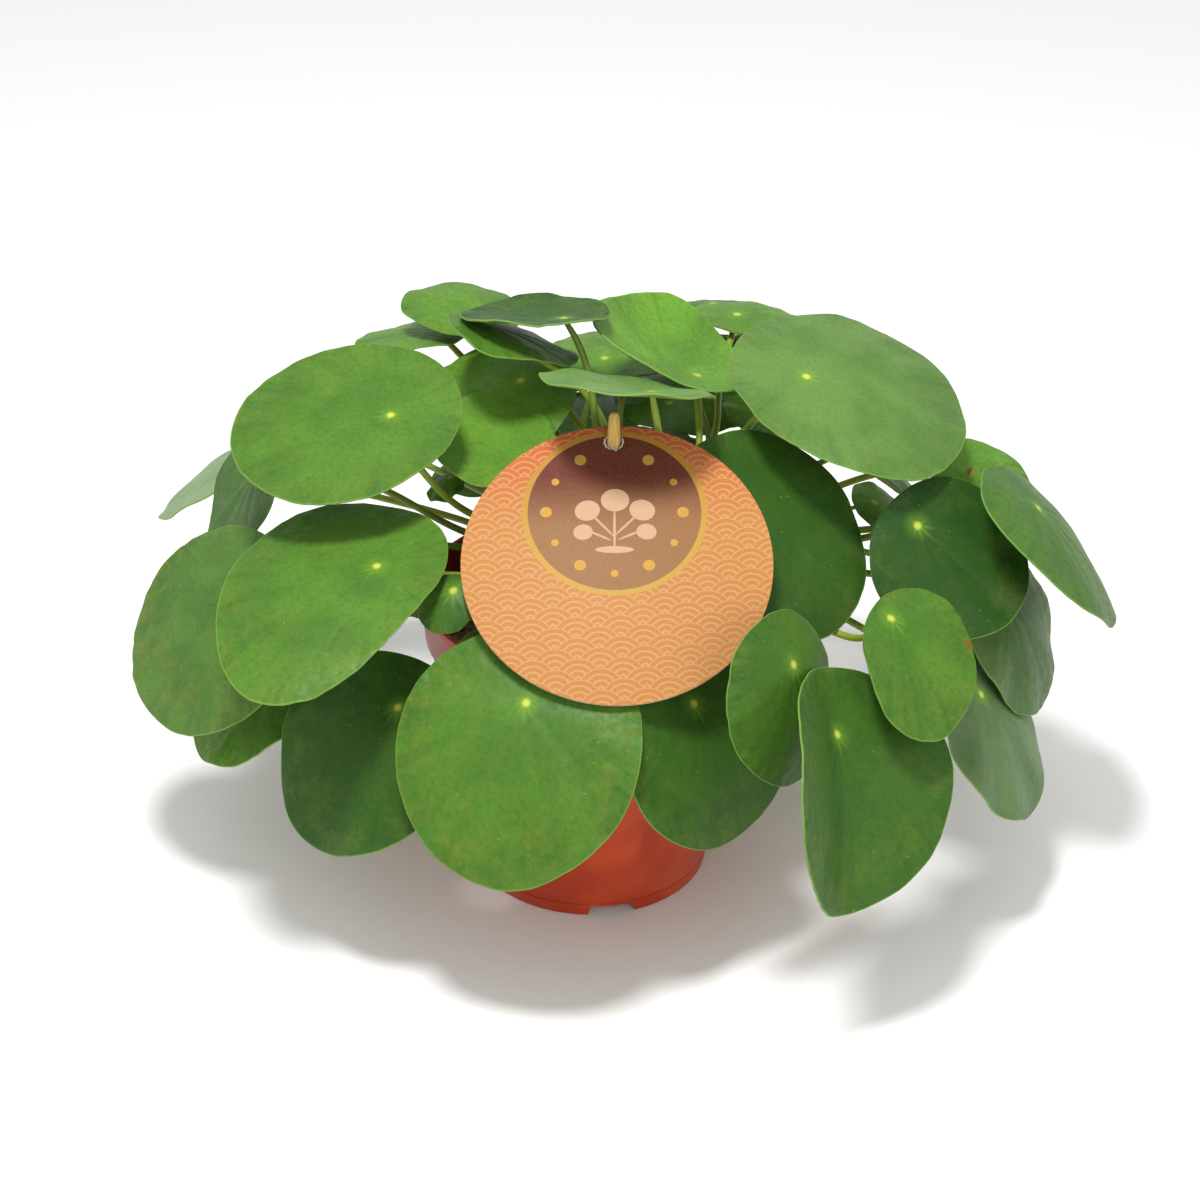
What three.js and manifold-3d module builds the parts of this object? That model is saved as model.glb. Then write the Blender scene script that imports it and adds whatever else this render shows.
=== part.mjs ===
// A potted Chinese money plant: a short trunk in a thin plastic nursery pot of dark peat, round
// shield-shaped leaves each on a stalk of its own, and a round card held over them by a wooden stick.
// Millimetres, +Z up, +X to the right and -Y towards the viewer of the front.
// The origin is the middle of the pot's underside, on the surface that the pot stands on.
import * as THREE from 'three';
import { mergeVertices } from 'three/addons/utils/BufferGeometryUtils.js';
import Module from 'manifold-3d';

const wasm = await Module();
wasm.setup();

// ---- Driving dimensions --------------------------------------------------------------------

const POT = {
  height: 112,
  rimRadius: 60,
  bandRadius: 58.6,
  bandHeight: 18,
  bodyTopRadius: 57.2,
  footRadius: 42,
  wall: 1.5,
  footWidth: 5,
  footHeight: 4,
  floor: 2,
  centrePadRadius: 12,
  segments: 48,
};
const NOTCH = { count: 4, width: 15, slope: 1.5, height: 4.4, depth: 16, firstAngle: 10.3 };
const DRAIN = { count: 8, radius: 3.5, ringRadius: 26 };

const GAP = 0.3;                       // air left between two pieces that touch on the real plant
const SOIL = { top: 93, shoulder: 4, mound: 2.5, moundReach: 30, roughness: 1.1, segments: 30 };

const TRUNK = {
  foot: [8, 6, 60],
  soilLine: [10, 8, 93],
  top: [17, 10, 129],
  footRadius: 6.2,
  topRadius: 5,
  scars: 6,
  scarDepth: 0.5,
  sides: 12,
};

const LEAF = {
  thickness: 0.8,
  stalkFromBase: 0.3,                  // where the stalk meets most blades, as a share of its length
  segments: 20,
  innerRing: 0.55,
  waveHeight: 0.55,
  waveCount: 5,
};

const STALK = {
  radius: 1.25,
  thinRadius: 0.8,
  sides: 5,
  steps: 6,
  start: 0.9,                          // air between the trunk and the stalk's end
  sunk: 0.3,                           // how near the stalk's slanting end comes to the blade's upper face
  rise: -8,                            // how much steeper the stalk leaves than its straight line
  handle: 0.35,                        // how far it keeps its first and last direction
  hangsBelow: 12,                      // leaves up to this far above the rim hang over it
  overRim: 2.4,
  bend: 35,                            // how far from square to the blade it arrives
  bendPerDroop: 0.6,
};
const SCAR = { rings: 10, around: 10, lowest: 98, spacing: 3.3 };

const TAG = { radius: 52.5, thickness: 0.8, centre: [9, -36, 141.7], lean: 56, segments: 60 };
const STICK = {
  radius: 2.3,
  tipRadius: 1.5,
  taper: 9,
  above: 11,
  soilPoint: [7, -11, 93],
  foot: 55,
  sides: 12,
};
const STICK_HOLE = [-1, 46];           // in the card's own plane, from its middle

// ---- Leaves --------------------------------------------------------------------------------
// at: where the stalk meets the blade. size: length and width. aim: compass heading of the tip
// (0 is +X, 90 is +Y), how far the tip points below the horizon, and the roll about that line.
// cup: how far the edge sags. bow: how much more the tip and base sag.
// fold: how far the two halves fall away from the midrib.
// egg: wider towards the tip. skew: the lean of the outline to one side.
// base: where the stalk meets the blade, as a share of its length from its base.
// via: points that the stalk passes on its way. rise: how steeply it leaves the trunk.
// turn: how far round the trunk from the leaf's own heading it starts.
// All in millimetres and degrees.

const LEAVES = [
  // left side
  { at: [-69, 14, 172], size: [82, 80], aim: [174, 8, -17], cup: 1.5,
    via: [[-41, 12, 134], [-59, 12, 152]] },
  { at: [-72, -32, 138], size: [84, 82], aim: [-162, 14, -12], cup: 4, egg: 0.24, skew: 0.26 },
  { at: [-125, -4, 111], size: [77, 75], aim: [-160, 49, -21], cup: 4 },
  { at: [-111.5, -5, 76.5], size: [57, 56], aim: [-174, 34, -8], cup: 4, turn: -11,
    via: [[-56, -13.6, 117.3], [-90, -4, 84]] },
  { at: [-136, 94, 113], size: [54, 52], aim: [166, 35, 0], cup: 3, fold: -1.4 },
  { at: [-120, 44, 136.5], size: [59, 57], aim: [-175, 60, -11], cup: 0.5, bow: 1.5, fold: -1,
    via: [[-45, 27, 119], [-80, 36, 134]] },
  { at: [-46, -38, 132], size: [22, 21], aim: [-137, 37, -14], cup: 3 },
  { at: [-49.8, 30, 139.6], size: [15, 14], aim: [-160, 25, 0], cup: 3 },
  // front
  { at: [-65.2, -51.2, 93.9], size: [75, 74], aim: [-153, 50, -20], cup: 3, bow: 5, egg: -0.15,
    skew: -0.1, base: 0.23, via: [[-42, -43, 115.8], [-53, -46, 99]] },
  { at: [-21, -74, 110], size: [88, 83], aim: [-110, 50, -4], cup: 4, bow: 5, egg: -0.06, turn: -40,
    via: [[-22, -56, 115.4]] },
  { at: [34.5, -64, 103.5], size: [71.5, 71], aim: [-43, 62, 6], cup: 2.2, bow: 5.8, fold: -1.6,
    via: [[28, -51, 117.6], [30.5, -56.5, 110]] },
  { at: [66.3, -76, 126], size: [58, 55], aim: [-58, 71, -19], cup: 7, fold: 2,
    via: [[33, -51, 123.5], [50, -64, 119]] },
  { at: [80.8, -83.5, 103.8], size: [81.5, 79.5], aim: [-84, 51, -41], cup: 2.4, bow: 4, fold: -19.6,
    skew: -0.1, base: 0.28, via: [[57, -20, 115.4], [79, -44, 104], [91, -60, 101]] },
  { at: [100, -52.3, 129.5], size: [50, 48.5], aim: [-51, 40, -1], cup: 3.4, fold: -5, skew: -0.3,
    base: 0.15, turn: 6, via: [[56.6, -13, 115.3], [90.3, -32, 110]] },
  // right side
  { at: [113, -5, 139], size: [59, 57], aim: [-25, 37, 34], cup: 2.7, bow: -2, egg: -0.11, base: 0.21,
    via: [[88, 8, 129.3]] },
  { at: [146, 7.7, 105.5], size: [66.5, 64.5], aim: [-17, 60, 7], cup: 3.8, bow: 2.9 },
  { at: [136, -27, 84], size: [68, 66], aim: [-17, 57, 4], cup: 4 },
  { at: [156, 6, 140], size: [76, 74.5], aim: [-10, 49, -6], cup: 5.3, bow: 1.4, skew: 0.32,
    via: [[98.9, 9.5, 126.9], [131.8, 15.2, 133.1]] },
  { at: [136, 36, 138.5], size: [45.5, 44.5], aim: [-22, 35, 15], cup: 4 },
  { at: [75, 26, 181], size: [88, 85], aim: [15, 13, 17], cup: 6.5, egg: 0.09 },
  { at: [49.8, -7.8, 149.3], size: [80, 78], aim: [-27, 40, 21], cup: 3.2, bow: -1.3, egg: -0.06,
    turn: 31 },
  { at: [101, 25, 132], size: [28, 27], aim: [20, 30, 20], cup: 3 },
  // crown
  { at: [38, 49.5, 170.3], size: [64.5, 62.5], aim: [142, -17, 13], cup: -7, egg: 0.2, skew: -0.1,
    via: [[37, 27, 146]] },
  { at: [54.1, 95.9, 173.1], size: [42, 40], aim: [60, 10, 0], cup: 3.5, turn: -6,
    via: [[43, 40, 148], [47, 67, 160]] },
  { at: [46.9, 129.5, 162.6], size: [44, 42], aim: [92, 20, 0], cup: 3, turn: 44,
    via: [[10.1, 51, 140.3], [13.4, 85, 149.7], [27.4, 114.1, 150.1]] },
  { at: [53, 98, 157.5], size: [42, 41], aim: [62, 8, 0], cup: 3,
    via: [[42.3, 46.3, 142.1], [39.5, 74.4, 152.1]] },
  { at: [21, 10, 183], size: [61.5, 59.5], aim: [-138, -19, 10], cup: -3, bow: 1.6, turn: -10 },
  { at: [0.5, 74, 141.5], size: [52, 50], aim: [110, 8, 2], cup: 2, turn: 3 },
  { at: [-22.3, 17.2, 153.1], size: [49.5, 48], aim: [146, -7, -8], cup: 0, bow: -3, fold: -3,
    egg: -0.08, skew: -0.2, base: 0.2, turn: 4 },
  { at: [-25.3, 59.2, 163.6], size: [61, 59], aim: [-153, 21, -11], cup: 3, turn: -12 },
  { at: [-39.7, 95, 175.7], size: [45, 44], aim: [152, -7, 2], cup: 3.5, bow: 0.8, rise: 50, turn: -9 },
  { at: [-57, 95, 167], size: [48, 47], aim: [152, 14, 6], cup: 2, rise: 40, turn: 12 },
  { at: [-9.4, 49.4, 192.6], size: [53.5, 51.5], aim: [164, 5, 12], cup: -2.6, bow: 1.2, fold: -0.9,
    turn: 36 },
  { at: [-36, 53, 188.5], size: [48.5, 47.5], aim: [-4, 19, -12], cup: 4, bow: -2, egg: -0.3, turn: -9,
    via: [[6.1, 35.3, 154.8], [-3.9, 39.3, 170.6], [-22.4, 45.4, 181.8]] },
  { at: [5, 91.7, 157.2], size: [52, 48], aim: [80, 4, 0], cup: 3, turn: 3, via: [[-3, 48, 142]] },
  { at: [19.5, 37.8, 148.8], size: [36, 36], aim: [62, 7, 0], cup: 3, turn: -4 },
  { at: [61, 60, 150], size: [38, 38], aim: [35, 14, 5], cup: 3, turn: -15 },
  { at: [29, 79.8, 144.6], size: [58, 56], aim: [45, 2, 0], cup: 3 },
  { at: [-8, 117.9, 137.1], size: [46, 44], aim: [97, 20, 0], cup: 4, via: [[-14, 88, 127]] },
  { at: [-46, 105, 150], size: [55, 53], aim: [140, 30, 0], cup: 4, via: [[-25, 56, 138]] },
  // back, hidden from the front
  { at: [-84.2, 110.6, 114.7], size: [66, 64], aim: [130, 45, 6], cup: 4 },
  { at: [-106, 60, 72], size: [60, 58], aim: [155, 55, 0], cup: 4, via: [[-55, 24, 115.4]] },
  { at: [-12, 105, 64], size: [66, 64], aim: [95, 62, 0], cup: 4 },
  { at: [50, 95, 70], size: [70, 68], aim: [68, 58, -4], cup: 4 },
  { at: [100, 92, 122], size: [70, 68], aim: [42, 42, 8], cup: 5 },
  { at: [137, 75, 76], size: [58, 56], aim: [28, 55, 0], cup: 4 },
  { at: [-32, 113, 110], size: [60, 58], aim: [108, 48, 0], cup: 4, turn: 11 },
  { at: [22, 108, 112], size: [62, 60], aim: [80, 50, 4], cup: 4 },
  { at: [-50, 106, 66], size: [58, 56], aim: [118, 60, 0], cup: 4, turn: -18 },
];

// ---- Helpers -------------------------------------------------------------------------------

const radians = THREE.MathUtils.degToRad;
const group = new THREE.Group();

// A solid from a closed geometry, for joining and cutting.
function solid(geometry) {
  const bare = geometry.clone();
  bare.deleteAttribute('normal');
  bare.deleteAttribute('uv');
  const merged = mergeVertices(bare, 1e-4);
  return new wasm.Manifold(new wasm.Mesh({
    numProp: 3,
    vertProperties: merged.attributes.position.array,
    triVerts: new Uint32Array(merged.index.array),
  }));
}

function geometryOf(manifold) {
  const mesh = manifold.getMesh();
  const geometry = new THREE.BufferGeometry();
  geometry.setAttribute('position', new THREE.BufferAttribute(Float32Array.from(mesh.vertProperties), 3));
  geometry.setIndex(new THREE.BufferAttribute(Uint32Array.from(mesh.triVerts), 1));
  geometry.computeVertexNormals();
  return geometry;
}

function material(colour, roughness) {
  return new THREE.MeshStandardMaterial({ color: colour, roughness, metalness: 0 });
}

function addPiece(name, geometry, finish) {
  const mesh = new THREE.Mesh(geometry, finish);
  mesh.name = name;
  group.add(mesh);
  return mesh;
}

// A lathe about Z from [radius, height] pairs.
function turned(profile, segments) {
  const points = profile.map(([radius, height]) => new THREE.Vector2(radius, height));
  return new THREE.LatheGeometry(points, segments).rotateX(Math.PI / 2);
}

// Small seeded random numbers, the same on each run.
function seeded(seed) {
  let state = seed * 2654435761 % 4294967296;
  return () => {
    state = (state * 1664525 + 1013904223) % 4294967296;
    return state / 4294967296;
  };
}

// ---- Pot -----------------------------------------------------------------------------------

function potWallRadius(height) {
  const slope = (POT.bodyTopRadius - POT.footRadius) / (POT.height - POT.bandHeight);
  return POT.footRadius + slope * height;
}

function makePot() {
  const bandBottom = POT.height - POT.bandHeight;
  const floorTop = POT.footHeight + POT.floor;
  const innerFoot = POT.footRadius - POT.footWidth;
  const profile = [
    [0, 0], [POT.centrePadRadius, 0], [POT.centrePadRadius + 1, POT.footHeight],
    [innerFoot, POT.footHeight], [innerFoot + 0.6, 0], [POT.footRadius, 0],
    [POT.bodyTopRadius, bandBottom], [POT.bandRadius, bandBottom + 0.8],
    [POT.rimRadius - 0.4, POT.height - 3], [POT.rimRadius, POT.height - 2.2],
    [POT.rimRadius, POT.height - 0.5], [POT.rimRadius - 0.5, POT.height],
    [POT.rimRadius - 1.9, POT.height], [POT.rimRadius - 2.3, POT.height - 0.6],
    [POT.bandRadius - POT.wall, bandBottom + 2],
    [POT.bodyTopRadius - POT.wall, bandBottom - 1],
    [potWallRadius(floorTop) - POT.wall, floorTop], [0, floorTop],
  ];
  let pot = solid(turned(profile, POT.segments));
  for (let i = 0; i < NOTCH.count; i += 1) {
    const outline = new THREE.Shape([
      new THREE.Vector2(-NOTCH.width / 2 - NOTCH.slope, -1),
      new THREE.Vector2(NOTCH.width / 2 + NOTCH.slope, -1),
      new THREE.Vector2(NOTCH.width / 2, NOTCH.height),
      new THREE.Vector2(-NOTCH.width / 2, NOTCH.height),
    ]);
    const cutter = new THREE.ExtrudeGeometry(outline, { depth: NOTCH.depth, bevelEnabled: false });
    cutter.rotateX(Math.PI / 2).translate(0, NOTCH.depth - POT.footRadius - 4, 0);
    cutter.rotateZ(radians(NOTCH.firstAngle + i * 360 / NOTCH.count));
    pot = pot.subtract(solid(cutter));
  }
  for (let i = 0; i < DRAIN.count; i += 1) {
    const hole = new THREE.CylinderGeometry(DRAIN.radius, DRAIN.radius, 20, 12).rotateX(Math.PI / 2);
    hole.translate(DRAIN.ringRadius, 0, POT.footHeight).rotateZ((i + 0.5) * 2 * Math.PI / DRAIN.count);
    pot = pot.subtract(solid(hole));
  }
  return addPiece('pot', geometryOf(pot), material('#a2341a', 0.45));
}

// ---- Trunk ---------------------------------------------------------------------------------

const trunkPath = new THREE.CatmullRomCurve3(
  [TRUNK.foot, TRUNK.soilLine, TRUNK.top].map((point) => new THREE.Vector3(...point)),
);

function trunkRadiusAt(share) {
  const swell = 1 + TRUNK.scarDepth / TRUNK.footRadius * Math.cos(2 * Math.PI * TRUNK.scars * share);
  return THREE.MathUtils.lerp(TRUNK.footRadius, TRUNK.topRadius, share) * swell;
}

// The axis point at a given height above the surface that the pot stands on.
function trunkAxisAt(height) {
  let low = 0;
  let high = 1;
  for (let i = 0; i < 30; i += 1) {
    const middle = (low + high) / 2;
    if (trunkPath.getPoint(middle).z < height) low = middle;
    else high = middle;
  }
  return { point: trunkPath.getPoint(low), share: low };
}

// A lathe whose rows are carried along the leaning axis; a rounded growing tip closes it.
function trunkGeometry(clearance) {
  const rows = 24;
  const profile = [[0, 0]];
  for (let i = 0; i <= rows; i += 1) profile.push([trunkRadiusAt(i / rows) + clearance, i / rows]);
  profile.push([TRUNK.topRadius * 0.6 + clearance, 1.03], [0, 1.045 + clearance / 100]);
  const geometry = turned(profile, TRUNK.sides);
  const place = geometry.attributes.position;
  const vertex = new THREE.Vector3();
  for (let i = 0; i < place.count; i += 1) {
    vertex.fromBufferAttribute(place, i);
    const share = THREE.MathUtils.clamp(vertex.z, 0, 1);
    const centre = trunkPath.getPoint(share);
    const beyond = (vertex.z - share) * 100;
    place.setXYZ(i, vertex.x + centre.x, vertex.y + centre.y, centre.z + beyond);
  }
  return geometry;
}

// ---- Stick and card ------------------------------------------------------------------------

const tagTurn = new THREE.Euler(radians(90 - TAG.lean), 0, 0);
const stickHole = new THREE.Vector3(...STICK_HOLE, 0).applyEuler(tagTurn)
  .add(new THREE.Vector3(...TAG.centre));
const stickSoil = new THREE.Vector3(...STICK.soilPoint);
const stickLine = stickHole.clone().sub(stickSoil).normalize();

// The stick along its own line; clearance widens it for the holes that it stands in.
function stickGeometry(clearance) {
  const below = (STICK.soilPoint[2] - STICK.foot) / stickLine.z;
  const reach = stickHole.distanceTo(stickSoil) + STICK.above;
  const side = STICK.radius + clearance;
  const profile = [
    [0, -below - clearance], [side, -below - clearance], [side, reach - STICK.taper],
    [STICK.tipRadius + 0.3 + clearance, reach - 1.2],
    [STICK.tipRadius * 0.6 + clearance, reach - 0.2], [0, reach],
  ];
  const turn = new THREE.Quaternion().setFromUnitVectors(new THREE.Vector3(0, 0, 1), stickLine);
  return turned(profile, STICK.sides).applyQuaternion(turn).translate(...STICK.soilPoint);
}

function makeTag() {
  const outline = new THREE.Shape().absarc(0, 0, TAG.radius, 0, 2 * Math.PI);
  const card = new THREE.ExtrudeGeometry(outline, {
    depth: TAG.thickness, bevelEnabled: false, curveSegments: TAG.segments / 2,
  });
  card.translate(0, 0, -TAG.thickness / 2);
  const placed = card.clone().applyMatrix4(new THREE.Matrix4().makeRotationFromEuler(tagTurn));
  placed.translate(...TAG.centre);
  const cut = solid(placed).subtract(solid(stickGeometry(GAP)));
  return addPiece('tag', geometryOf(cut), material('#f3a86e', 0.45));
}

// ---- Soil ----------------------------------------------------------------------------------

function makeSoil() {
  const random = seeded(7);
  const phases = [random(), random(), random(), random()].map((share) => share * 2 * Math.PI);
  const bottom = POT.footHeight + POT.floor + GAP;
  const edge = (height) => potWallRadius(height) - POT.wall - GAP - 0.25;
  const edgeTop = edge(SOIL.top - SOIL.shoulder);
  const rings = [0.82, 0.64, 0.46, 0.28];
  const profile = [
    [0, bottom], [edge(bottom), bottom],
    [edgeTop, SOIL.top - SOIL.shoulder], [edgeTop - 1, SOIL.top - 1.5],
  ];
  rings.forEach((share) => profile.push([edgeTop * share, SOIL.top]));
  profile.push([0, SOIL.top]);
  const geometry = turned(profile, SOIL.segments);
  const place = geometry.attributes.position;
  for (let i = 0; i < place.count; i += 1) {
    const [x, y, z] = [place.getX(i), place.getY(i), place.getZ(i)];
    const radius = Math.hypot(x, y);
    if (z > SOIL.top - 0.5) {
      const mound = SOIL.mound * (Math.exp(-((radius / SOIL.moundReach) ** 2)) - 0.35);
      const lumps = Math.sin(x * 0.31 + phases[0]) * Math.cos(y * 0.37 + phases[1])
        + 0.6 * Math.sin(x * 0.13 - y * 0.19 + phases[2]);
      place.setZ(i, z + mound + SOIL.roughness * lumps);
    }
  }
  const soil = solid(geometry).subtract(solid(trunkGeometry(GAP))).subtract(solid(stickGeometry(GAP)));
  return addPiece('soil', geometryOf(soil), material('#2b1d15', 1));
}

// ---- Leaves --------------------------------------------------------------------------------

function leafAxes([heading, droop, roll]) {
  const [a, d, r] = [radians(heading), radians(droop), radians(roll)];
  const tip = new THREE.Vector3(Math.cos(a) * Math.cos(d), Math.sin(a) * Math.cos(d), -Math.sin(d));
  const level = new THREE.Vector3(-Math.sin(a), Math.cos(a), 0);
  const lift = tip.clone().cross(level);
  const side = level.multiplyScalar(Math.cos(r)).addScaledVector(lift, Math.sin(r));
  return { tip, side, face: tip.clone().cross(side) };
}

// The blade's outline about the stalk, at an angle from the tip.
function outlineAt(leaf, angle) {
  const [length, width] = leaf.size;
  const { egg = 0, skew = 0, base = LEAF.stalkFromBase } = leaf;
  const across = width / 2 * Math.sin(angle) * (1 + egg * Math.cos(angle));
  const along = length * (0.5 - base) + length / 2 * Math.cos(angle) + skew * across;
  return [along, across];
}

// How high the blade's surface stands over the plane through the stalk's end.
function bladeHeight(leaf, along, across, share, angle) {
  const [length, width] = leaf.size;
  const { cup = 3, bow = 0, fold = 0, base = LEAF.stalkFromBase } = leaf;
  const { waves = LEAF.waveCount, phase = 0 } = leaf;
  const sag = (x, y) => {
    const u = (x - length * (0.5 - base)) / (length / 2);
    const v = y / (width / 2);
    return -cup * (u * u + v * v) - bow * u * u - fold * (Math.sqrt(v * v + 0.01) - 0.1);
  };
  const wave = LEAF.waveHeight * share ** 3 * Math.sin(waves * angle + phase);
  return sag(along, across) - sag(0, 0) + wave;
}

// A thin closed blade: the same triangles on both faces, joined round the rim.
function bladeGeometry(leaf) {
  const positions = [];
  const triangles = [];
  const count = LEAF.segments;
  const shares = [LEAF.innerRing, 1];
  const facing = (side) => {
    const first = positions.length / 3;
    positions.push(0, 0, side * LEAF.thickness / 2);
    shares.forEach((share) => {
      for (let i = 0; i < count; i += 1) {
        const angle = 2 * Math.PI * i / count;
        const [along, across] = outlineAt(leaf, angle).map((value) => value * share);
        const height = bladeHeight(leaf, along, across, share, angle);
        positions.push(along, across, height + side * LEAF.thickness / 2);
      }
    });
    const push = (a, b, c) => triangles.push(...(side > 0 ? [a, b, c] : [a, c, b]));
    for (let i = 0; i < count; i += 1) {
      const [here, next] = [first + 1 + i, first + 1 + (i + 1) % count];
      push(first, here, next);
      push(here, here + count, next + count);
      push(here, next + count, next);
    }
    return first + 1 + count;
  };
  const top = facing(1);
  const bottom = facing(-1);
  for (let i = 0; i < count; i += 1) {
    const next = (i + 1) % count;
    triangles.push(top + i, bottom + i, bottom + next);
    triangles.push(top + i, bottom + next, top + next);
  }
  const geometry = new THREE.BufferGeometry();
  geometry.setAttribute('position', new THREE.Float32BufferAttribute(positions, 3));
  geometry.setIndex(triangles);
  return geometry;
}

// The scars that stalks grow from: rings round the trunk, each ring turned half a step.
const scars = [];
for (let ring = 0; ring < SCAR.rings; ring += 1) {
  for (let i = 0; i < SCAR.around; i += 1) {
    const angle = (i + ring % 2 / 2) * 2 * Math.PI / SCAR.around;
    scars.push({ angle, height: SCAR.lowest + ring * SCAR.spacing, taken: false });
  }
}

// The free scar nearest to a heading and a height.
function takeScar(heading, height) {
  const distance = (scar) => {
    const turn = Math.atan2(Math.sin(scar.angle - heading), Math.cos(scar.angle - heading));
    return Math.hypot(turn * TRUNK.footRadius * 2, scar.height - height);
  };
  const free = scars.filter((scar) => !scar.taken);
  const nearest = free.reduce((best, scar) => (distance(scar) < distance(best) ? scar : best));
  nearest.taken = true;
  return nearest;
}

// Where a straight way out, seen from above, crosses the pot's rim: a point just over it.
function overRim(start, end) {
  const [x, y] = [end.x - start.x, end.y - start.y];
  const inwards = (start.x * x + start.y * y) / (x * x + y * y);
  const beyond = (start.x ** 2 + start.y ** 2 - POT.rimRadius ** 2) / (x * x + y * y);
  const share = -inwards + Math.sqrt(inwards * inwards - beyond);
  return [start.x + share * x, start.y + share * y, POT.height + STALK.radius + STALK.overRim];
}

// The stalk leaves its scar outwards and comes up under the blade from the base side.
// That of a leaf which hangs outside the pot passes over the rim.
// A few pass other leaves by points of their own.
function stalkCurve(leaf, axes) {
  const foot = new THREE.Vector3(...leaf.at);
  const { point, share } = trunkAxisAt(leaf.scar.height);
  const outward = new THREE.Vector3(Math.cos(leaf.scar.angle), Math.sin(leaf.scar.angle), 0);
  const hangs = foot.z < POT.height + STALK.hangsBelow;
  const rise = hangs ? 0 : radians(leaf.rise ?? leaf.slope + STALK.rise);
  const reach = trunkRadiusAt(share) + STALK.start + STALK.radius * Math.sin(Math.abs(rise));
  const start = point.clone().addScaledVector(outward, reach);
  const via = (leaf.via ?? (hangs ? [overRim(start, foot)] : [])).map((stop) => new THREE.Vector3(...stop));
  const handle = STALK.handle * foot.distanceTo(start);
  const bend = radians(STALK.bend + STALK.bendPerDroop * leaf.aim[1]);
  const arrive = via.length > 0
    ? foot.clone().sub(via[via.length - 1]).normalize()
    : axes.face.clone().multiplyScalar(Math.cos(bend)).addScaledVector(axes.tip, Math.sin(bend));
  // The slanting end stays below the blade's upper face.
  const lean = Math.sqrt(1 - Math.min(1, arrive.dot(axes.face) ** 2));
  const end = foot.clone().addScaledVector(axes.face, -Math.max(0, STALK.radius * lean - STALK.sunk));
  if (via.length > 0) return new THREE.CatmullRomCurve3([start, ...via, end]);
  const leave = outward.multiplyScalar(Math.cos(rise)).setZ(Math.sin(rise));
  return new THREE.CubicBezierCurve3(
    start,
    start.clone().addScaledVector(leave, handle),
    end.clone().addScaledVector(arrive, -handle),
    end,
  );
}

function stalkGeometry(leaf, curve) {
  const radius = leaf.size[0] < 35 ? STALK.thinRadius : STALK.radius;
  const corners = [];
  for (let i = 0; i < STALK.sides; i += 1) {
    const angle = 2 * Math.PI * i / STALK.sides;
    corners.push(new THREE.Vector2(radius * Math.cos(angle), radius * Math.sin(angle)));
  }
  return new THREE.ExtrudeGeometry(new THREE.Shape(corners), {
    steps: STALK.steps, bevelEnabled: false, extrudePath: curve,
  });
}

function makeLeaf(leaf, index) {
  const random = seeded(index + 11);
  const full = { ...leaf, phase: random() * 2 * Math.PI, waves: LEAF.waveCount + Math.floor(random() * 3) };
  const axes = leafAxes(full.aim);
  const frame = new THREE.Matrix4().makeBasis(axes.tip, axes.side, axes.face).setPosition(...full.at);
  const stalk = stalkGeometry(full, stalkCurve(full, axes)).applyMatrix4(frame.clone().invert());
  const joined = solid(bladeGeometry(full)).add(solid(stalk));
  const finish = material(index % 3 === 0 ? '#5c9a38' : '#3f7d2c', 0.42);
  const mesh = addPiece(`leaf_${String(index + 1).padStart(2, '0')}`, geometryOf(joined), finish);
  mesh.applyMatrix4(frame);
  return mesh;
}

// ---- Assembly ------------------------------------------------------------------------------

makePot();
makeSoil();
addPiece('trunk', geometryOf(solid(trunkGeometry(0))), material('#6b5a3c', 0.85));
addPiece('stick', geometryOf(solid(stickGeometry(0))), material('#d9b47c', 0.7));
makeTag();

// The flattest stalks leave the trunk lowest, so that none crosses another.
const trunkMiddle = new THREE.Vector3(...TRUNK.soilLine).lerp(new THREE.Vector3(...TRUNK.top), 0.5);
const placed = LEAVES.map((leaf, index) => {
  const way = new THREE.Vector3(...leaf.at).sub(trunkMiddle);
  const slope = THREE.MathUtils.radToDeg(Math.atan2(way.z, Math.hypot(way.x, way.y)));
  return { ...leaf, index, slope, heading: Math.atan2(way.y, way.x) };
});
const bySlope = [...placed].sort((a, b) => a.slope - b.slope);
bySlope.forEach((leaf, rank) => {
  const height = SCAR.lowest + SCAR.spacing * (SCAR.rings - 1) * rank / (LEAVES.length - 1);
  leaf.scar = takeScar(leaf.heading + radians(leaf.turn ?? 0), height);
});
placed.forEach((leaf) => makeLeaf(leaf, leaf.index));

export default group;
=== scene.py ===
# %% [markdown]
# # A potted Chinese money plant
#
# The real object is a young houseplant: round leaves on long stalks, a short scarred trunk, dark peat,
# a thin plastic nursery pot, and a round printed card held over the leaves by a wooden stick.
# The construction was made in CAD and is loaded here as a frame. Each solid in it has the right place
# and size but flat facets, so this lesson builds a finer piece for each and gives it its finish.

# %% Load the frame
import math
import random
from functools import partial

import bmesh
import bpy
from mathutils import Matrix, Vector, noise


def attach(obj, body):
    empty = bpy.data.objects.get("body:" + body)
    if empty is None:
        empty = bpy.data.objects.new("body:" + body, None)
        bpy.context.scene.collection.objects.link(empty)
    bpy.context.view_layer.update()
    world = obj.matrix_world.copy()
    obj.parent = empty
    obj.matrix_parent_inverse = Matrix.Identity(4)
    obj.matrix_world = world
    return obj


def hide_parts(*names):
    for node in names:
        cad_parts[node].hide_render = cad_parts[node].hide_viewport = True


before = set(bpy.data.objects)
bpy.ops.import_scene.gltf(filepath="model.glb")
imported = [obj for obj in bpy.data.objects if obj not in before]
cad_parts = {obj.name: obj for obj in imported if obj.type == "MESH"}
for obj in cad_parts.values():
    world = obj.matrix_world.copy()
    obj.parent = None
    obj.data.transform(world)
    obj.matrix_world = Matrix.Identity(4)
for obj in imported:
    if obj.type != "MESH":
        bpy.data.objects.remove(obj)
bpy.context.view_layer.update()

print("CAD nodes:", len(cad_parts))

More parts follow.
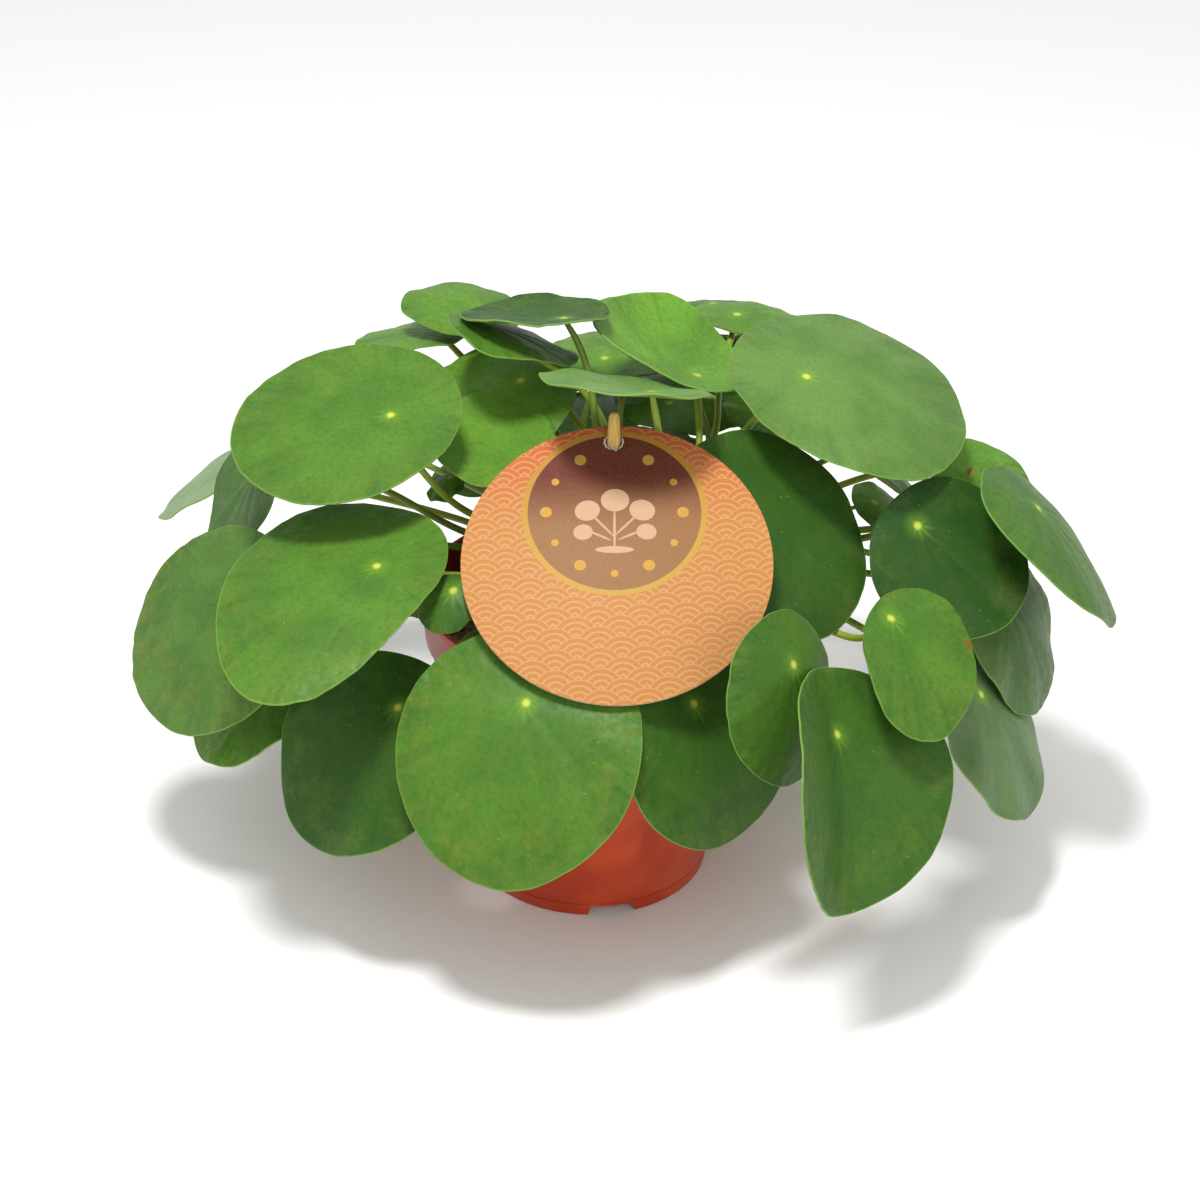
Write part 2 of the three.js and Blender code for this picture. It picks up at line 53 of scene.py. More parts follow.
# %% [markdown]
# ## Units, colours and pieces
#
# A plant like this is thought of in millimetres, so every piece is drawn in millimetres and turned to
# metres once, when it is finished. Its place stays in its mesh and its object stays at the origin.

# %% Helpers for pieces
MM = 0.001
WELD = 1e-4


def finish_piece(name, bm, finish, stands_for=()):
    """A bmesh drawn in millimetres becomes a smooth-shaded piece in metres that rides on the plant."""
    bmesh.ops.scale(bm, vec=(MM, MM, MM), verts=bm.verts)
    mesh = bpy.data.meshes.new(name)
    bm.to_mesh(mesh)
    bm.free()
    mesh.shade_smooth()
    mesh.materials.append(finish)
    piece = bpy.data.objects.new(name, mesh)
    bpy.context.scene.collection.objects.link(piece)
    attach(piece, "root")
    if stands_for:
        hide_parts(*stands_for)
    return piece


def spun(profile, steps):
    """A profile of points (across, up) that is spun once round the Z axis."""
    bm = bmesh.new()
    row = [bm.verts.new((across, 0, up)) for across, up in profile]
    edges = [bm.edges.new(pair) for pair in zip(row, row[1:])]
    bmesh.ops.spin(bm, geom=row + edges, cent=(0, 0, 0), axis=(0, 0, 1), angle=2 * math.pi, steps=steps,
                   use_merge=True, use_duplicate=False)
    return bm


def close_and_face_outwards(bm):
    """Merges what meets and turns every face of a closed shell outwards."""
    bmesh.ops.remove_doubles(bm, verts=bm.verts, dist=WELD)
    bmesh.ops.recalc_face_normals(bm, faces=bm.faces)


def roughness(spot, grades):
    """Noise at a place, in several grades of (height, size)."""
    return sum(height * noise.noise(spot / size) for height, size in grades)


def mark(bm, **numbers):
    """Stores numbers on every point of a bmesh, which its material reads by their names."""
    for name, value in numbers.items():
        layer = bm.verts.layers.float.new(name)
        for vert in bm.verts:
            vert[layer] = value(vert) if callable(value) else value


# %% [markdown]
# Colours are written as the sRGB hex values that a picture editor shows. Blender's shaders work in
# linear light, so one function turns them. One more function adds a shader node, sets it and links it.
# A finish is a recipe: a function that adds its nodes and returns the sockets of the skin's shader.

# %% Helpers for finishes
def linear(colour, alpha=1.0):
    """An sRGB hex colour, such as "#a2341a", in linear light."""
    parts = [int(colour[i:i + 2], 16) / 255 for i in (1, 3, 5)]
    return [c / 12.92 if c <= 0.04045 else ((c + 0.055) / 1.055) ** 2.4 for c in parts] + [alpha]


def add_node(tree, kind, sockets=None, out=0, **settings):
    """Adds a shader node, with its settings, and returns one of its outputs.

    A socket takes a number, a hex colour, or the output of another node, which is linked.
    """
    node = tree.nodes.new("ShaderNode" + kind)
    for name, value in settings.items():
        setattr(node, name, value)
    for socket, value in (sockets or {}).items():
        if isinstance(value, bpy.types.NodeSocket):
            tree.links.new(value, node.inputs[socket])
        else:
            node.inputs[socket].default_value = linear(value) if isinstance(value, str) else value
    return node.outputs[out] if len(node.outputs) else None


def make_finish(name, recipe):
    """A material named for what it is made of. The recipe adds nodes and gives the skin's sockets."""
    finish = bpy.data.materials.new(name)
    finish.use_nodes = True
    finish.node_tree.nodes.clear()
    add = partial(add_node, finish.node_tree)
    add("OutputMaterial", {"Surface": add("BsdfPrincipled", recipe(add))})
    return finish


# %% [markdown]
# Three kinds of node do most of the work. Their sockets have numbers, because several share a name:
#
# - MapRange with a smooth step: 0 is the value, 1 and 2 where it starts and ends, 3 and 4 the results
# - Mix of colours: 0 is the share, 6 and 7 the colours, and output 2 is the mixed colour
# - Math and VectorMath: 0, 1 and 2 are what is worked with

# %% Node settings that are used again and again
SMOOTH = dict(interpolation_type="SMOOTHSTEP")
COLOURS = dict(out=2, data_type="RGBA")


# %% [markdown]
# ## The view and the light
#
# The picture was taken from a metre away with a short telephoto lens, looking down by 30 degrees, so the
# floor fills the background. One lamp hangs nearly overhead and gives the clear shadows that one leaf
# throws on the next, and a broad one fills in from the front right. The white room around them is what
# puts the pale sheen on hanging leaves.

# %% Camera, floor and light
VIEW_TARGET = Vector((3.3, 0, 106.5)) * MM
VIEW_DISTANCE = 1.0
VIEW_ELEVATION = math.radians(30)
LENS = 85
FLOOR_SIZE = 12
LAMP_AIM = Vector((0, 0, 0.1))
ROOM_LIGHT = 0.75

camera = bpy.data.objects.new("camera", bpy.data.cameras.new("camera"))
bpy.context.scene.collection.objects.link(camera)
camera.data.lens = LENS
camera.data.clip_end = 50
away = Vector((0, -math.cos(VIEW_ELEVATION), math.sin(VIEW_ELEVATION)))
camera.location = VIEW_TARGET + VIEW_DISTANCE * away
camera.rotation_euler = (-away).to_track_quat("-Z", "Y").to_euler()
bpy.context.scene.camera = camera

floor_skin = {"Base Color": "#f6f6f5", "Roughness": 0.9, "Specular IOR Level": 0.0}
floor_mesh = bmesh.new()
bmesh.ops.create_grid(floor_mesh, x_segments=1, y_segments=1, size=FLOOR_SIZE / 2)
floor_data = bpy.data.meshes.new("floor")
floor_mesh.to_mesh(floor_data)
floor_mesh.free()
floor_data.materials.append(make_finish("matte white paper sweep", lambda add: floor_skin))
floor = bpy.data.objects.new("floor", floor_data)
bpy.context.scene.collection.objects.link(floor)


def lamp(name, place, size, power):
    """A soft round lamp that faces the middle of the plant."""
    data = bpy.data.lights.new(name, "AREA")
    data.shape = "DISK"
    data.size = size
    data.energy = power
    light = bpy.data.objects.new(name, data)
    bpy.context.scene.collection.objects.link(light)
    light.location = place
    light.rotation_euler = (LAMP_AIM - Vector(place)).to_track_quat("-Z", "Y").to_euler()


lamp("overhead", (-0.12, -0.27, 1.21), 0.24, 12.0)
lamp("front fill", (0.9, -1.5, 0.9), 0.9, 7.0)

room = bpy.data.worlds.new("white room")
room.use_nodes = True
room.node_tree.nodes["Background"].inputs["Color"].default_value = linear("#ffffff")
room.node_tree.nodes["Background"].inputs["Strength"].default_value = ROOM_LIGHT
bpy.context.scene.world = room
bpy.context.scene.view_settings.view_transform = "Standard"
print("Camera at", [round(c, 3) for c in camera.location])

# %% [markdown]
# ## The leaves: where each one is
#
# Each leaf is one row: where its stalk meets the blade, how long and wide it is, and how it is turned.
# The frame's solids were made from the same rows, so the fine blades lie just where the solids are.
#
# - at: where the stalk meets the blade
# - size: length and width
# - aim: compass heading of the tip (0 is +X, 90 is +Y), how far it droops, and its roll
# - cup: how far the edge sags; bow: how much more the tip and base sag; fold: how the halves fall away
# - egg: wider towards the tip; skew: the lean of the outline to one side
# - base: where the stalk meets the blade, as a share of its length, where that isn't three tenths
# - via: points that the stalk passes; rise: how steeply it starts; turn: where round the trunk
# - tone: from 0, dark, to 1, bright: the leaf's age together with the painted light and
#   shade that it gets; olive: how clouded and quilted it is near its rim
# - bloom: how much pale grey-green sheen is painted on it; curl: how wavy the edge is; stain: the
#   place and radius of a rusty spot

# %% Leaf rows
LEAVES = [
    # left side
    dict(at=(-69, 14, 172), size=(82, 80), aim=(174, 8, -17), cup=1.5, tone=0.55,
         via=[(-41, 12, 134), (-59, 12, 152)]),
    dict(at=(-72, -32, 138), size=(84, 82), aim=(-162, 14, -12), cup=4, egg=0.24, skew=0.26, tone=0.55,
         olive=0.45),
    dict(at=(-125, -4, 111), size=(77, 75), aim=(-160, 49, -21), cup=4, tone=0.5, olive=0.75, bloom=0.08),
    dict(at=(-111.5, -5, 76.5), size=(57, 56), aim=(-174, 34, -8), cup=4, turn=-11, tone=0.85,
         via=[(-56, -13.6, 117.3), (-90, -4, 84)]),
    dict(at=(-136, 94, 113), size=(54, 52), aim=(166, 35, 0), cup=3, fold=-1.4, tone=0.9, olive=0.1,
         bloom=0.6),
    dict(at=(-120, 44, 136.5), size=(59, 57), aim=(-175, 60, -11), cup=0.5, bow=1.5, fold=-1, tone=0.36,
         olive=0.15, via=[(-45, 27, 119), (-80, 36, 134)]),
    dict(at=(-46, -38, 132), size=(22, 21), aim=(-137, 37, -14), cup=3, tone=0.3),
    dict(at=(-49.8, 30, 139.6), size=(15, 14), aim=(-160, 25, 0), cup=3, tone=0.9),
    # front
    dict(at=(-65.2, -51.2, 93.9), size=(75, 74), aim=(-153, 50, -20), cup=3, bow=5, egg=-0.15, skew=-0.1,
         base=0.23, tone=0.18, olive=0.3, via=[(-42, -43, 115.8), (-53, -46, 99)]),
    dict(at=(-21, -74, 110), size=(88, 83), aim=(-110, 50, -4), cup=4, bow=5, egg=-0.06, turn=-40,
         tone=0.5, olive=0.6, via=[(-22, -56, 115.4)]),
    dict(at=(34.5, -64, 103.5), size=(71.5, 71), aim=(-43, 62, 6), cup=2.2, bow=5.8, fold=-1.6, tone=0.25,
         via=[(28, -51, 117.6), (30.5, -56.5, 110)]),
    dict(at=(66.3, -76, 126), size=(58, 55), aim=(-58, 71, -19), cup=7, fold=2, tone=0.38,
         via=[(33, -51, 123.5), (50, -64, 119)]),
    dict(at=(80.8, -83.5, 103.8), size=(81.5, 79.5), aim=(-84, 51, -41), cup=2.4, bow=4, fold=-19.6,
         skew=-0.1, base=0.28, tone=0.27, olive=0.3,
         via=[(57, -20, 115.4), (79, -44, 104), (91, -60, 101)]),
    dict(at=(100, -52.3, 129.5), size=(50, 48.5), aim=(-51, 40, -1), cup=3.4, fold=-5, skew=-0.3, base=0.15,
         turn=6, tone=0.5, stain=(19.6, 21.5, 1.8), via=[(56.6, -13, 115.3), (90.3, -32, 110)]),
    # right side
    dict(at=(113, -5, 139), size=(59, 57), aim=(-25, 37, 34), cup=2.7, bow=-2, egg=-0.11, base=0.21,
         tone=0.1, olive=0.3, via=[(88, 8, 129.3)]),
    dict(at=(146, 7.7, 105.5), size=(66.5, 64.5), aim=(-17, 60, 7), cup=3.8, bow=2.9, tone=0.3, bloom=0.15),
    dict(at=(136, -27, 84), size=(68, 66), aim=(-17, 57, 4), cup=4, tone=0.32, olive=0.2, bloom=0.25),
    dict(at=(156, 6, 140), size=(76, 74.5), aim=(-10, 49, -6), cup=5.3, bow=1.4, skew=0.32, tone=0.42,
         olive=0.1, via=[(98.9, 9.5, 126.9), (131.8, 15.2, 133.1)]),
    dict(at=(136, 36, 138.5), size=(45.5, 44.5), aim=(-22, 35, 15), cup=4, tone=0.85, stain=(0, 0, 1.6)),
    dict(at=(75, 26, 181), size=(88, 85), aim=(15, 13, 17), cup=6.5, egg=0.09, tone=0.6, bloom=0.12),
    dict(at=(49.8, -7.8, 149.3), size=(80, 78), aim=(-27, 40, 21), cup=3.2, bow=-1.3, egg=-0.06, turn=31,
         tone=0.19, olive=0.2),
    dict(at=(101, 25, 132), size=(28, 27), aim=(20, 30, 20), cup=3, tone=1),
    # crown
    dict(at=(38, 49.5, 170.3), size=(64.5, 62.5), aim=(142, -17, 13), cup=-7, egg=0.2, skew=-0.1, tone=0.88,
         olive=0.2, via=[(37, 27, 146)]),
    dict(at=(54.1, 95.9, 173.1), size=(42, 40), aim=(60, 10, 0), cup=3.5, turn=-6, tone=0.72,
         via=[(43, 40, 148), (47, 67, 160)]),
    dict(at=(46.9, 129.5, 162.6), size=(44, 42), aim=(92, 20, 0), cup=3, turn=44, tone=0.4,
         via=[(10.1, 51, 140.3), (13.4, 85, 149.7), (27.4, 114.1, 150.1)]),
    dict(at=(53, 98, 157.5), size=(42, 41), aim=(62, 8, 0), cup=3, tone=0.4,
         via=[(42.3, 46.3, 142.1), (39.5, 74.4, 152.1)]),
    dict(at=(21, 10, 183), size=(61.5, 59.5), aim=(-138, -19, 10), cup=-3, bow=1.6, turn=-10, tone=0.74,
         olive=0.1, bloom=0.15, curl=0.25),
    dict(at=(0.5, 74, 141.5), size=(52, 50), aim=(110, 8, 2), cup=2, turn=3, tone=0.95),
    dict(at=(-22.3, 17.2, 153.1), size=(49.5, 48), aim=(146, -7, -8), cup=0, bow=-3, fold=-3, egg=-0.08,
         skew=-0.2, base=0.2, turn=4, tone=1, olive=0.3),
    dict(at=(-25.3, 59.2, 163.6), size=(61, 59), aim=(-153, 21, -11), cup=3, turn=-12, tone=0.85),
    dict(at=(-39.7, 95, 175.7), size=(45, 44), aim=(152, -7, 2), cup=3.5, bow=0.8, rise=50, turn=-9,
         tone=0.68, olive=0.2),
    dict(at=(-57, 95, 167), size=(48, 47), aim=(152, 14, 6), cup=2, rise=40, turn=12, tone=0.78),
    dict(at=(-9.4, 49.4, 192.6), size=(53.5, 51.5), aim=(164, 5, 12), cup=-2.6, bow=1.2, fold=-0.9, turn=36,
         tone=0.15),
    dict(at=(-36, 53, 188.5), size=(48.5, 47.5), aim=(-4, 19, -12), cup=4, bow=-2, egg=-0.3, turn=-9,
         tone=0.52, via=[(6.1, 35.3, 154.8), (-3.9, 39.3, 170.6), (-22.4, 45.4, 181.8)]),
    dict(at=(5, 91.7, 157.2), size=(52, 48), aim=(80, 4, 0), cup=3, turn=3, tone=0.8, via=[(-3, 48, 142)]),
    dict(at=(19.5, 37.8, 148.8), size=(36, 36), aim=(62, 7, 0), cup=3, turn=-4, tone=0.1),
    dict(at=(61, 60, 150), size=(38, 38), aim=(35, 14, 5), cup=3, turn=-15, tone=1),
    dict(at=(29, 79.8, 144.6), size=(58, 56), aim=(45, 2, 0), cup=3, tone=0.95),
    dict(at=(-8, 117.9, 137.1), size=(46, 44), aim=(97, 20, 0), cup=4, tone=0.1, via=[(-14, 88, 127)]),
    dict(at=(-46, 105, 150), size=(55, 53), aim=(140, 30, 0), cup=4, tone=0.1, via=[(-25, 56, 138)]),
    # back, hidden from the front
    dict(at=(-84.2, 110.6, 114.7), size=(66, 64), aim=(130, 45, 6), cup=4, tone=0.4),
    dict(at=(-106, 60, 72), size=(60, 58), aim=(155, 55, 0), cup=4, tone=0.2, via=[(-55, 24, 115.4)]),
    dict(at=(-12, 105, 64), size=(66, 64), aim=(95, 62, 0), cup=4, tone=0.25),
    dict(at=(50, 95, 70), size=(70, 68), aim=(68, 58, -4), cup=4, tone=0.35),
    dict(at=(100, 92, 122), size=(70, 68), aim=(42, 42, 8), cup=5, tone=0.25),
    dict(at=(137, 75, 76), size=(58, 56), aim=(28, 55, 0), cup=4, tone=0.2),
    dict(at=(-32, 113, 110), size=(60, 58), aim=(108, 48, 0), cup=4, turn=11, tone=0.4),
    dict(at=(22, 108, 112), size=(62, 60), aim=(80, 50, 4), cup=4, tone=0.45),
    dict(at=(-50, 106, 66), size=(58, 56), aim=(118, 60, 0), cup=4, turn=-18, tone=0.2),
]
print("leaves:", len(LEAVES))

# %% [markdown]
# ## The shape of a blade
#
# A money plant's blade is a shield: the stalk meets it inside its outline, about a third of the way from
# its base. It sags a little to its edge, has a shallow furrow over each main vein, and its rim waves.
# A row of points from the stalk to the rim is spun once round, which gives rings and rays. The rings
# are then pushed out to the leaf's outline and up to its height, and a second skin closes the blade.

# %% Blade shape
STALK_FROM_BASE = 0.3
RAYS = 120
RINGS = 22
BLADE_THICKNESS = 0.7
RIM_ROUNDING = 0.22
WAVE_HEIGHT = 0.55
WAVE_COUNT = 5
VEIN_ANGLES = [math.radians(a) for a in (0, 33, -33, 74, -74, 122, -122, 165, -165)]
VEIN_WIDTH = 2.2
VEIN_DEPTH = 0.2
VEIN_START = 8
VEIN_SPREAD = 0.7
RIM_CREEP = 0.9
QUILT_SIZE = 4.5
QUILT_HEIGHT = 1.3
OLIVE = 0.35
RING_CROWDING = 0.85
RIM_RING = 0.985
SLOW_CREEP = 0.014
FINE_CREEP = 0.0035
MAP_SCALE = 0.01
STAIN_NOWHERE = (0, 0, 0)


def seeded(seed):
    """The same small random numbers as the frame's solids were made with."""
    state = seed * 2654435761 % 2 ** 32
    while True:
        state = (state * 1664525 + 1013904223) % 2 ** 32
        yield state / 2 ** 32


def leaf_axes(aim):
    """Unit vectors along the midrib, across it, and out of the blade's upper face."""
    heading, droop, roll = (math.radians(a) for a in aim)
    tip = Vector((math.cos(heading) * math.cos(droop), math.sin(heading) * math.cos(droop), -math.sin(droop)))
    level = Vector((-math.sin(heading), math.cos(heading), 0))
    side = level * math.cos(roll) + tip.cross(level) * math.sin(roll)
    return tip, side, tip.cross(side)


def outline_at(leaf, angle):
    """The blade's outline about the stalk, at an angle from the tip."""
    length, width = leaf["size"]
    across = width / 2 * math.sin(angle) * (1 + leaf.get("egg", 0) * math.cos(angle))
    along = length * (0.5 - leaf.get("base", STALK_FROM_BASE)) + length / 2 * math.cos(angle)
    along += leaf.get("skew", 0) * across
    return along, across


def blade_height(leaf, along, across, share, angle):
    """How high the blade stands over the plane through the stalk's end: the solid's own formula."""
    length, width = leaf["size"]

    def sag(x, y):
        u = (x - length * (0.5 - leaf.get("base", STALK_FROM_BASE))) / (length / 2)
        v = y / (width / 2)
        return (-leaf["cup"] * (u * u + v * v) - leaf.get("bow", 0) * u * u
                - leaf.get("fold", 0) * (math.sqrt(v * v + 0.01) - 0.1))

    wave = WAVE_HEIGHT * share ** 3 * math.sin(leaf["waves"] * angle + leaf["phase"])
    return sag(along, across) - sag(0, 0) + wave


def fine_relief(leaf, along, across, share, angle):
    """What the solid leaves out: furrows over the veins and an edge that wanders up and down."""
    distance = math.hypot(along, across)
    furrow = 0.0
    for vein in VEIN_ANGLES:
        apart = math.remainder(angle - vein, 2 * math.pi)
        if abs(apart) < VEIN_SPREAD:
            furrow += math.exp(-(distance * math.sin(apart) / VEIN_WIDTH) ** 2)
    furrow *= -VEIN_DEPTH * min(1, distance / VEIN_START) * (1 - share ** 4)
    spot = Vector((math.cos(angle) * 2.1, math.sin(angle) * 2.1, leaf["number"] * 3.7))
    wander = RIM_CREEP * share ** 2.5 * noise.noise(spot) * leaf.get("curl", 1)
    place = Vector((along, across, leaf["number"] * 9.1))
    quilting = QUILT_HEIGHT * share ** 2 * noise.noise(place / QUILT_SIZE) * leaf.get("olive", OLIVE)
    return furrow + wander + quilting


def rim_creep(leaf, angle):
    """How far the outline runs out of its smooth curve, as a share of its size."""
    spot = Vector((math.cos(angle) * 1.6, math.sin(angle) * 1.6, leaf["number"] * 5.3 + 40))
    small = Vector((math.cos(angle) * 9, math.sin(angle) * 9, leaf["number"] * 2.9))
    return 1 + SLOW_CREEP * noise.noise(spot) + FINE_CREEP * noise.noise(small)


def flat_disc():
    """Rings and rays of radius 1 about the stalk's end, closer together near the rim."""
    shares = [(i / RINGS) ** RING_CROWDING for i in range(RINGS)] + [RIM_RING, 1.0]
    bm = spun([(share, 0) for share in shares], RAYS)
    close_and_face_outwards(bm)
    if bm.faces[:][0].normal.z < 0:
        bmesh.ops.reverse_faces(bm, faces=bm.faces)
    return bm


def blade(leaf):
    """The closed blade in place, with numbers on its points for the finish."""
    bm = flat_disc()
    share_layer = bm.verts.layers.float.new("share")
    leaf_map = bm.loops.layers.uv.new("leaf_map")
    for vert in bm.verts:
        share = math.hypot(vert.co.x, vert.co.y)
        angle = math.atan2(vert.co.y, vert.co.x)
        along, across = (value * share * rim_creep(leaf, angle) for value in outline_at(leaf, angle))
        height = blade_height(leaf, along, across, share, angle)
        vert.co = (along, across, height + fine_relief(leaf, along, across, share, angle))
        vert[share_layer] = share
    bmesh.ops.translate(bm, vec=(0, 0, -BLADE_THICKNESS / 2), verts=bm.verts)
    bm.normal_update()
    bmesh.ops.solidify(bm, geom=bm.faces[:], thickness=-BLADE_THICKNESS)
    close_and_face_outwards(bm)
    bm.normal_update()
    mark(bm, under=lambda vert: float(vert.normal.z < -0.1))
    for face in bm.faces:
        for loop in face.loops:
            loop[leaf_map].uv = loop.vert.co.xy * MAP_SCALE
    rim = [edge for edge in bm.edges if not edge.is_boundary and edge.calc_face_angle(0) > 1.0
           and min(v[share_layer] for v in edge.verts) > 0.99]
    bmesh.ops.bevel(bm, geom=rim, offset=RIM_ROUNDING, segments=2, profile=0.5, affect="EDGES", material=-1)
    along, across, reach = leaf.get("stain", STAIN_NOWHERE)
    # the tone is the leaf's age together with the painted light and shade that is set for each leaf
    mark(bm, tone=leaf["tone"], olive=leaf.get("olive", OLIVE), bloom=leaf.get("bloom", 0.0),
         leaf_seed=leaf["number"] * 1.7,
         stain=lambda vert: float(math.hypot(vert.co.x - along, vert.co.y - across) < reach))
    tip, side, face = leaf_axes(leaf["aim"])
    place = Matrix((tip, side, face)).transposed().to_4x4()
    place.translation = leaf["at"]
    bmesh.ops.transform(bm, matrix=place, verts=bm.verts)
    return bm


for number, leaf in enumerate(LEAVES, start=1):
    draws = seeded(number + 10)
    leaf["number"] = number
    leaf["phase"] = next(draws) * 2 * math.pi
    leaf["waves"] = WAVE_COUNT + math.floor(next(draws) * 3)
print("first blade waves", LEAVES[0]["waves"], "times round its edge")

# %% [markdown]
# ## The leaf finish
#
# A waxy leaf: its skin is smooth but never flat, so the white room lies on it as a soft grey-green
# sheen. Young blades are yellow-green, old ones deep green and then olive, and each blade's green also
# holds the painted light and shade that it gets. The spot over the stalk is yellow and its paler colour
# runs a little way into the main veins. Near the rim the skin is quilted by the finest veins, which also
# run outwards as faint streaks. The rim itself is thin, and the light that shines through it is painted
# on as a paler green.
# The leaf map counts tenths of a metre along and across each blade from its stalk, so MAP_SCALE is one
# millimetre on it. The quilting is about 3 mm across, as on the real leaf. The white specks are salt
# dried on its pores: they are drawn twice as wide as they are, or they wouldn't show.

# %% Leaf finish
SPOT_RADIUS = 1.2
SPOT_GLOW = 6.5
VEIN_LINES = [(4, 11), (36, 8), (-30, 8), (78, 5), (-72, 5), (180, 5)]
SPECK_SPACING = 5.0
SPECK_RADIUS = 0.22
STREAKS_ROUND = 9


def waxy_leaf(add):
    place = add("UVMap", uv_map="leaf_map")
    share, tone, olive, bloom, under, seed, stain = (
        add("Attribute", out="Fac", attribute_name=name)
        for name in ("share", "tone", "olive", "bloom", "under", "leaf_seed", "stain"))
    shift = add("CombineXYZ", {"Z": seed})
    own_place = add("VectorMath", {0: place, 1: shift}, operation="ADD")
    distance = add("VectorMath", {0: place}, out="Value", operation="LENGTH")
    near_rim = add("MapRange", {0: share, 1: 0.35, 2: 1.0}, **SMOOTH)

    # the blade's green from its tone of age and painted light and shade, in broad soft patches
    green = add("Mix", {0: tone, 6: "#1b3c13", 7: "#699832"}, **COLOURS)
    broad = add("TexNoise", {"Vector": own_place, "Scale": 1 / (22 * MAP_SCALE), "Detail": 2})
    deep = add("MapRange", {0: broad, 1: 0.36, 2: 0.64, 3: 0.3, 4: 0.0}, **SMOOTH)

    # olive and brownish clouds, more of them towards the rim and on old leaves
    clouds = add("TexNoise", {"Vector": own_place, "Scale": 1 / (9 * MAP_SCALE), "Detail": 4,
                              "Roughness": 0.6, "Distortion": 0.4})
    patches = add("MapRange", {0: clouds, 1: 0.42, 2: 0.66}, **SMOOTH)
    edge_share = add("Math", {0: near_rim, 1: 0.75, 2: 0.2}, operation="MULTIPLY_ADD")
    yellowing = add("Math", {0: patches, 1: edge_share}, operation="MULTIPLY")
    yellowing = add("Math", {0: yellowing, 1: olive}, operation="MULTIPLY")

    # streaks that run outwards, and the fine mottling of the cells
    outward = add("VectorMath", {0: place}, operation="NORMALIZE")
    outward = add("VectorMath", {0: outward, "Scale": STREAKS_ROUND}, operation="SCALE")
    outward = add("VectorMath", {0: outward, 1: own_place}, operation="ADD")
    streaks = add("TexNoise", {"Vector": outward, "Scale": 1.0, "Detail": 3, "Roughness": 0.6})
    dark_streaks = add("MapRange", {0: streaks, 1: 0.45, 2: 0.7, 3: 0.0, 4: 0.25}, **SMOOTH)
    dark_streaks = add("Math", {0: dark_streaks, 1: near_rim}, operation="MULTIPLY")
    fine = add("TexNoise", {"Vector": own_place, "Scale": 1 / (1.6 * MAP_SCALE), "Detail": 4,
                            "Roughness": 0.65})
    mottle = add("MapRange", {0: fine, 1: 0.4, 2: 0.75, 3: 0.0, 4: 0.3}, **SMOOTH)

    # a pale grey-green sheen painted on some blades, a painted reflection, thin in places
    painted_sheen_share = add("MapRange", {0: broad, 1: 0.3, 2: 0.6, 3: 0.6, 4: 1.0}, **SMOOTH)
    painted_sheen_share = add("Math", {0: painted_sheen_share, 1: bloom}, operation="MULTIPLY")

    # veins that fade with distance from the stalk
    veins = 0.0
    for degrees, reach in VEIN_LINES:
        way = math.radians(degrees)
        along = (math.cos(way), math.sin(way), 0)
        across = (-math.sin(way), math.cos(way), 0)
        ahead = add("VectorMath", {0: place, 1: along}, out="Value", operation="DOT_PRODUCT")
        aside = add("VectorMath", {0: place, 1: across}, out="Value", operation="DOT_PRODUCT")
        aside = add("Math", {0: aside}, operation="ABSOLUTE")
        line = add("MapRange", {0: aside, 1: 0.0, 2: 0.7 * MAP_SCALE, 3: 1.0, 4: 0.0}, **SMOOTH)
        fade = add("MapRange", {0: ahead, 1: 0.0, 2: reach * MAP_SCALE, 3: 1.0, 4: 0.0}, **SMOOTH)
        forward = add("Math", {0: ahead, 1: 0.0}, operation="GREATER_THAN")
        ray = add("Math", {0: line, 1: fade}, operation="MULTIPLY")
        ray = add("Math", {0: ray, 1: forward}, operation="MULTIPLY")
        veins = add("Math", {0: veins, 1: ray}, operation="MAXIMUM")
    faint_veins = add("Math", {0: veins, 1: 0.4}, operation="MULTIPLY")

    # the spot over the stalk and its glow
    glow = add("MapRange", {0: distance, 1: 0.0, 2: SPOT_GLOW * MAP_SCALE, 3: 0.42, 4: 0.0}, **SMOOTH)
    spot_edge = {1: 0.4 * SPOT_RADIUS * MAP_SCALE, 2: 1.7 * SPOT_RADIUS * MAP_SCALE}
    spot = add("MapRange", {0: distance, **spot_edge, 3: 1.0, 4: 0.0}, **SMOOTH)

    # tiny salt specks, the paler lower face, and the thin rim
    specks = add("TexVoronoi", {"Vector": own_place, "Scale": 1 / (SPECK_SPACING * MAP_SCALE)},
                 out="Distance", feature="F1")
    specks = add("MapRange", {0: specks, 1: 0.5 * SPECK_RADIUS / SPECK_SPACING,
                              2: 1.5 * SPECK_RADIUS / SPECK_SPACING, 3: 0.4, 4: 0.0}, **SMOOTH)
    # the thin rim's paler green is painted light: it stands for the light that shines through the edge
    rim = add("MapRange", {0: share, 1: 0.988, 2: 0.997, 3: 0.0, 4: 0.55}, **SMOOTH)
    pale = add("Math", {0: under, 1: 0.8}, operation="MULTIPLY")

    # all these lie over one another, and each shows where its share says
    colour = green
    for cover, layer in ((deep, "#1f4a1c"), (yellowing, "#657628"), (dark_streaks, "#183f14"),
                         (mottle, "#173a12"), (painted_sheen_share, "#8d9c80"), (faint_veins, "#7f9f35"), (glow, "#6f9a2c"),
                         (spot, "#b6bf4a"), (specks, "#a9b89a"), (stain, "#75501f"), (pale, "#728f4a"),
                         (rim, "#7ba046")):
        colour = add("Mix", {0: cover, 6: colour, 7: layer}, **COLOURS)

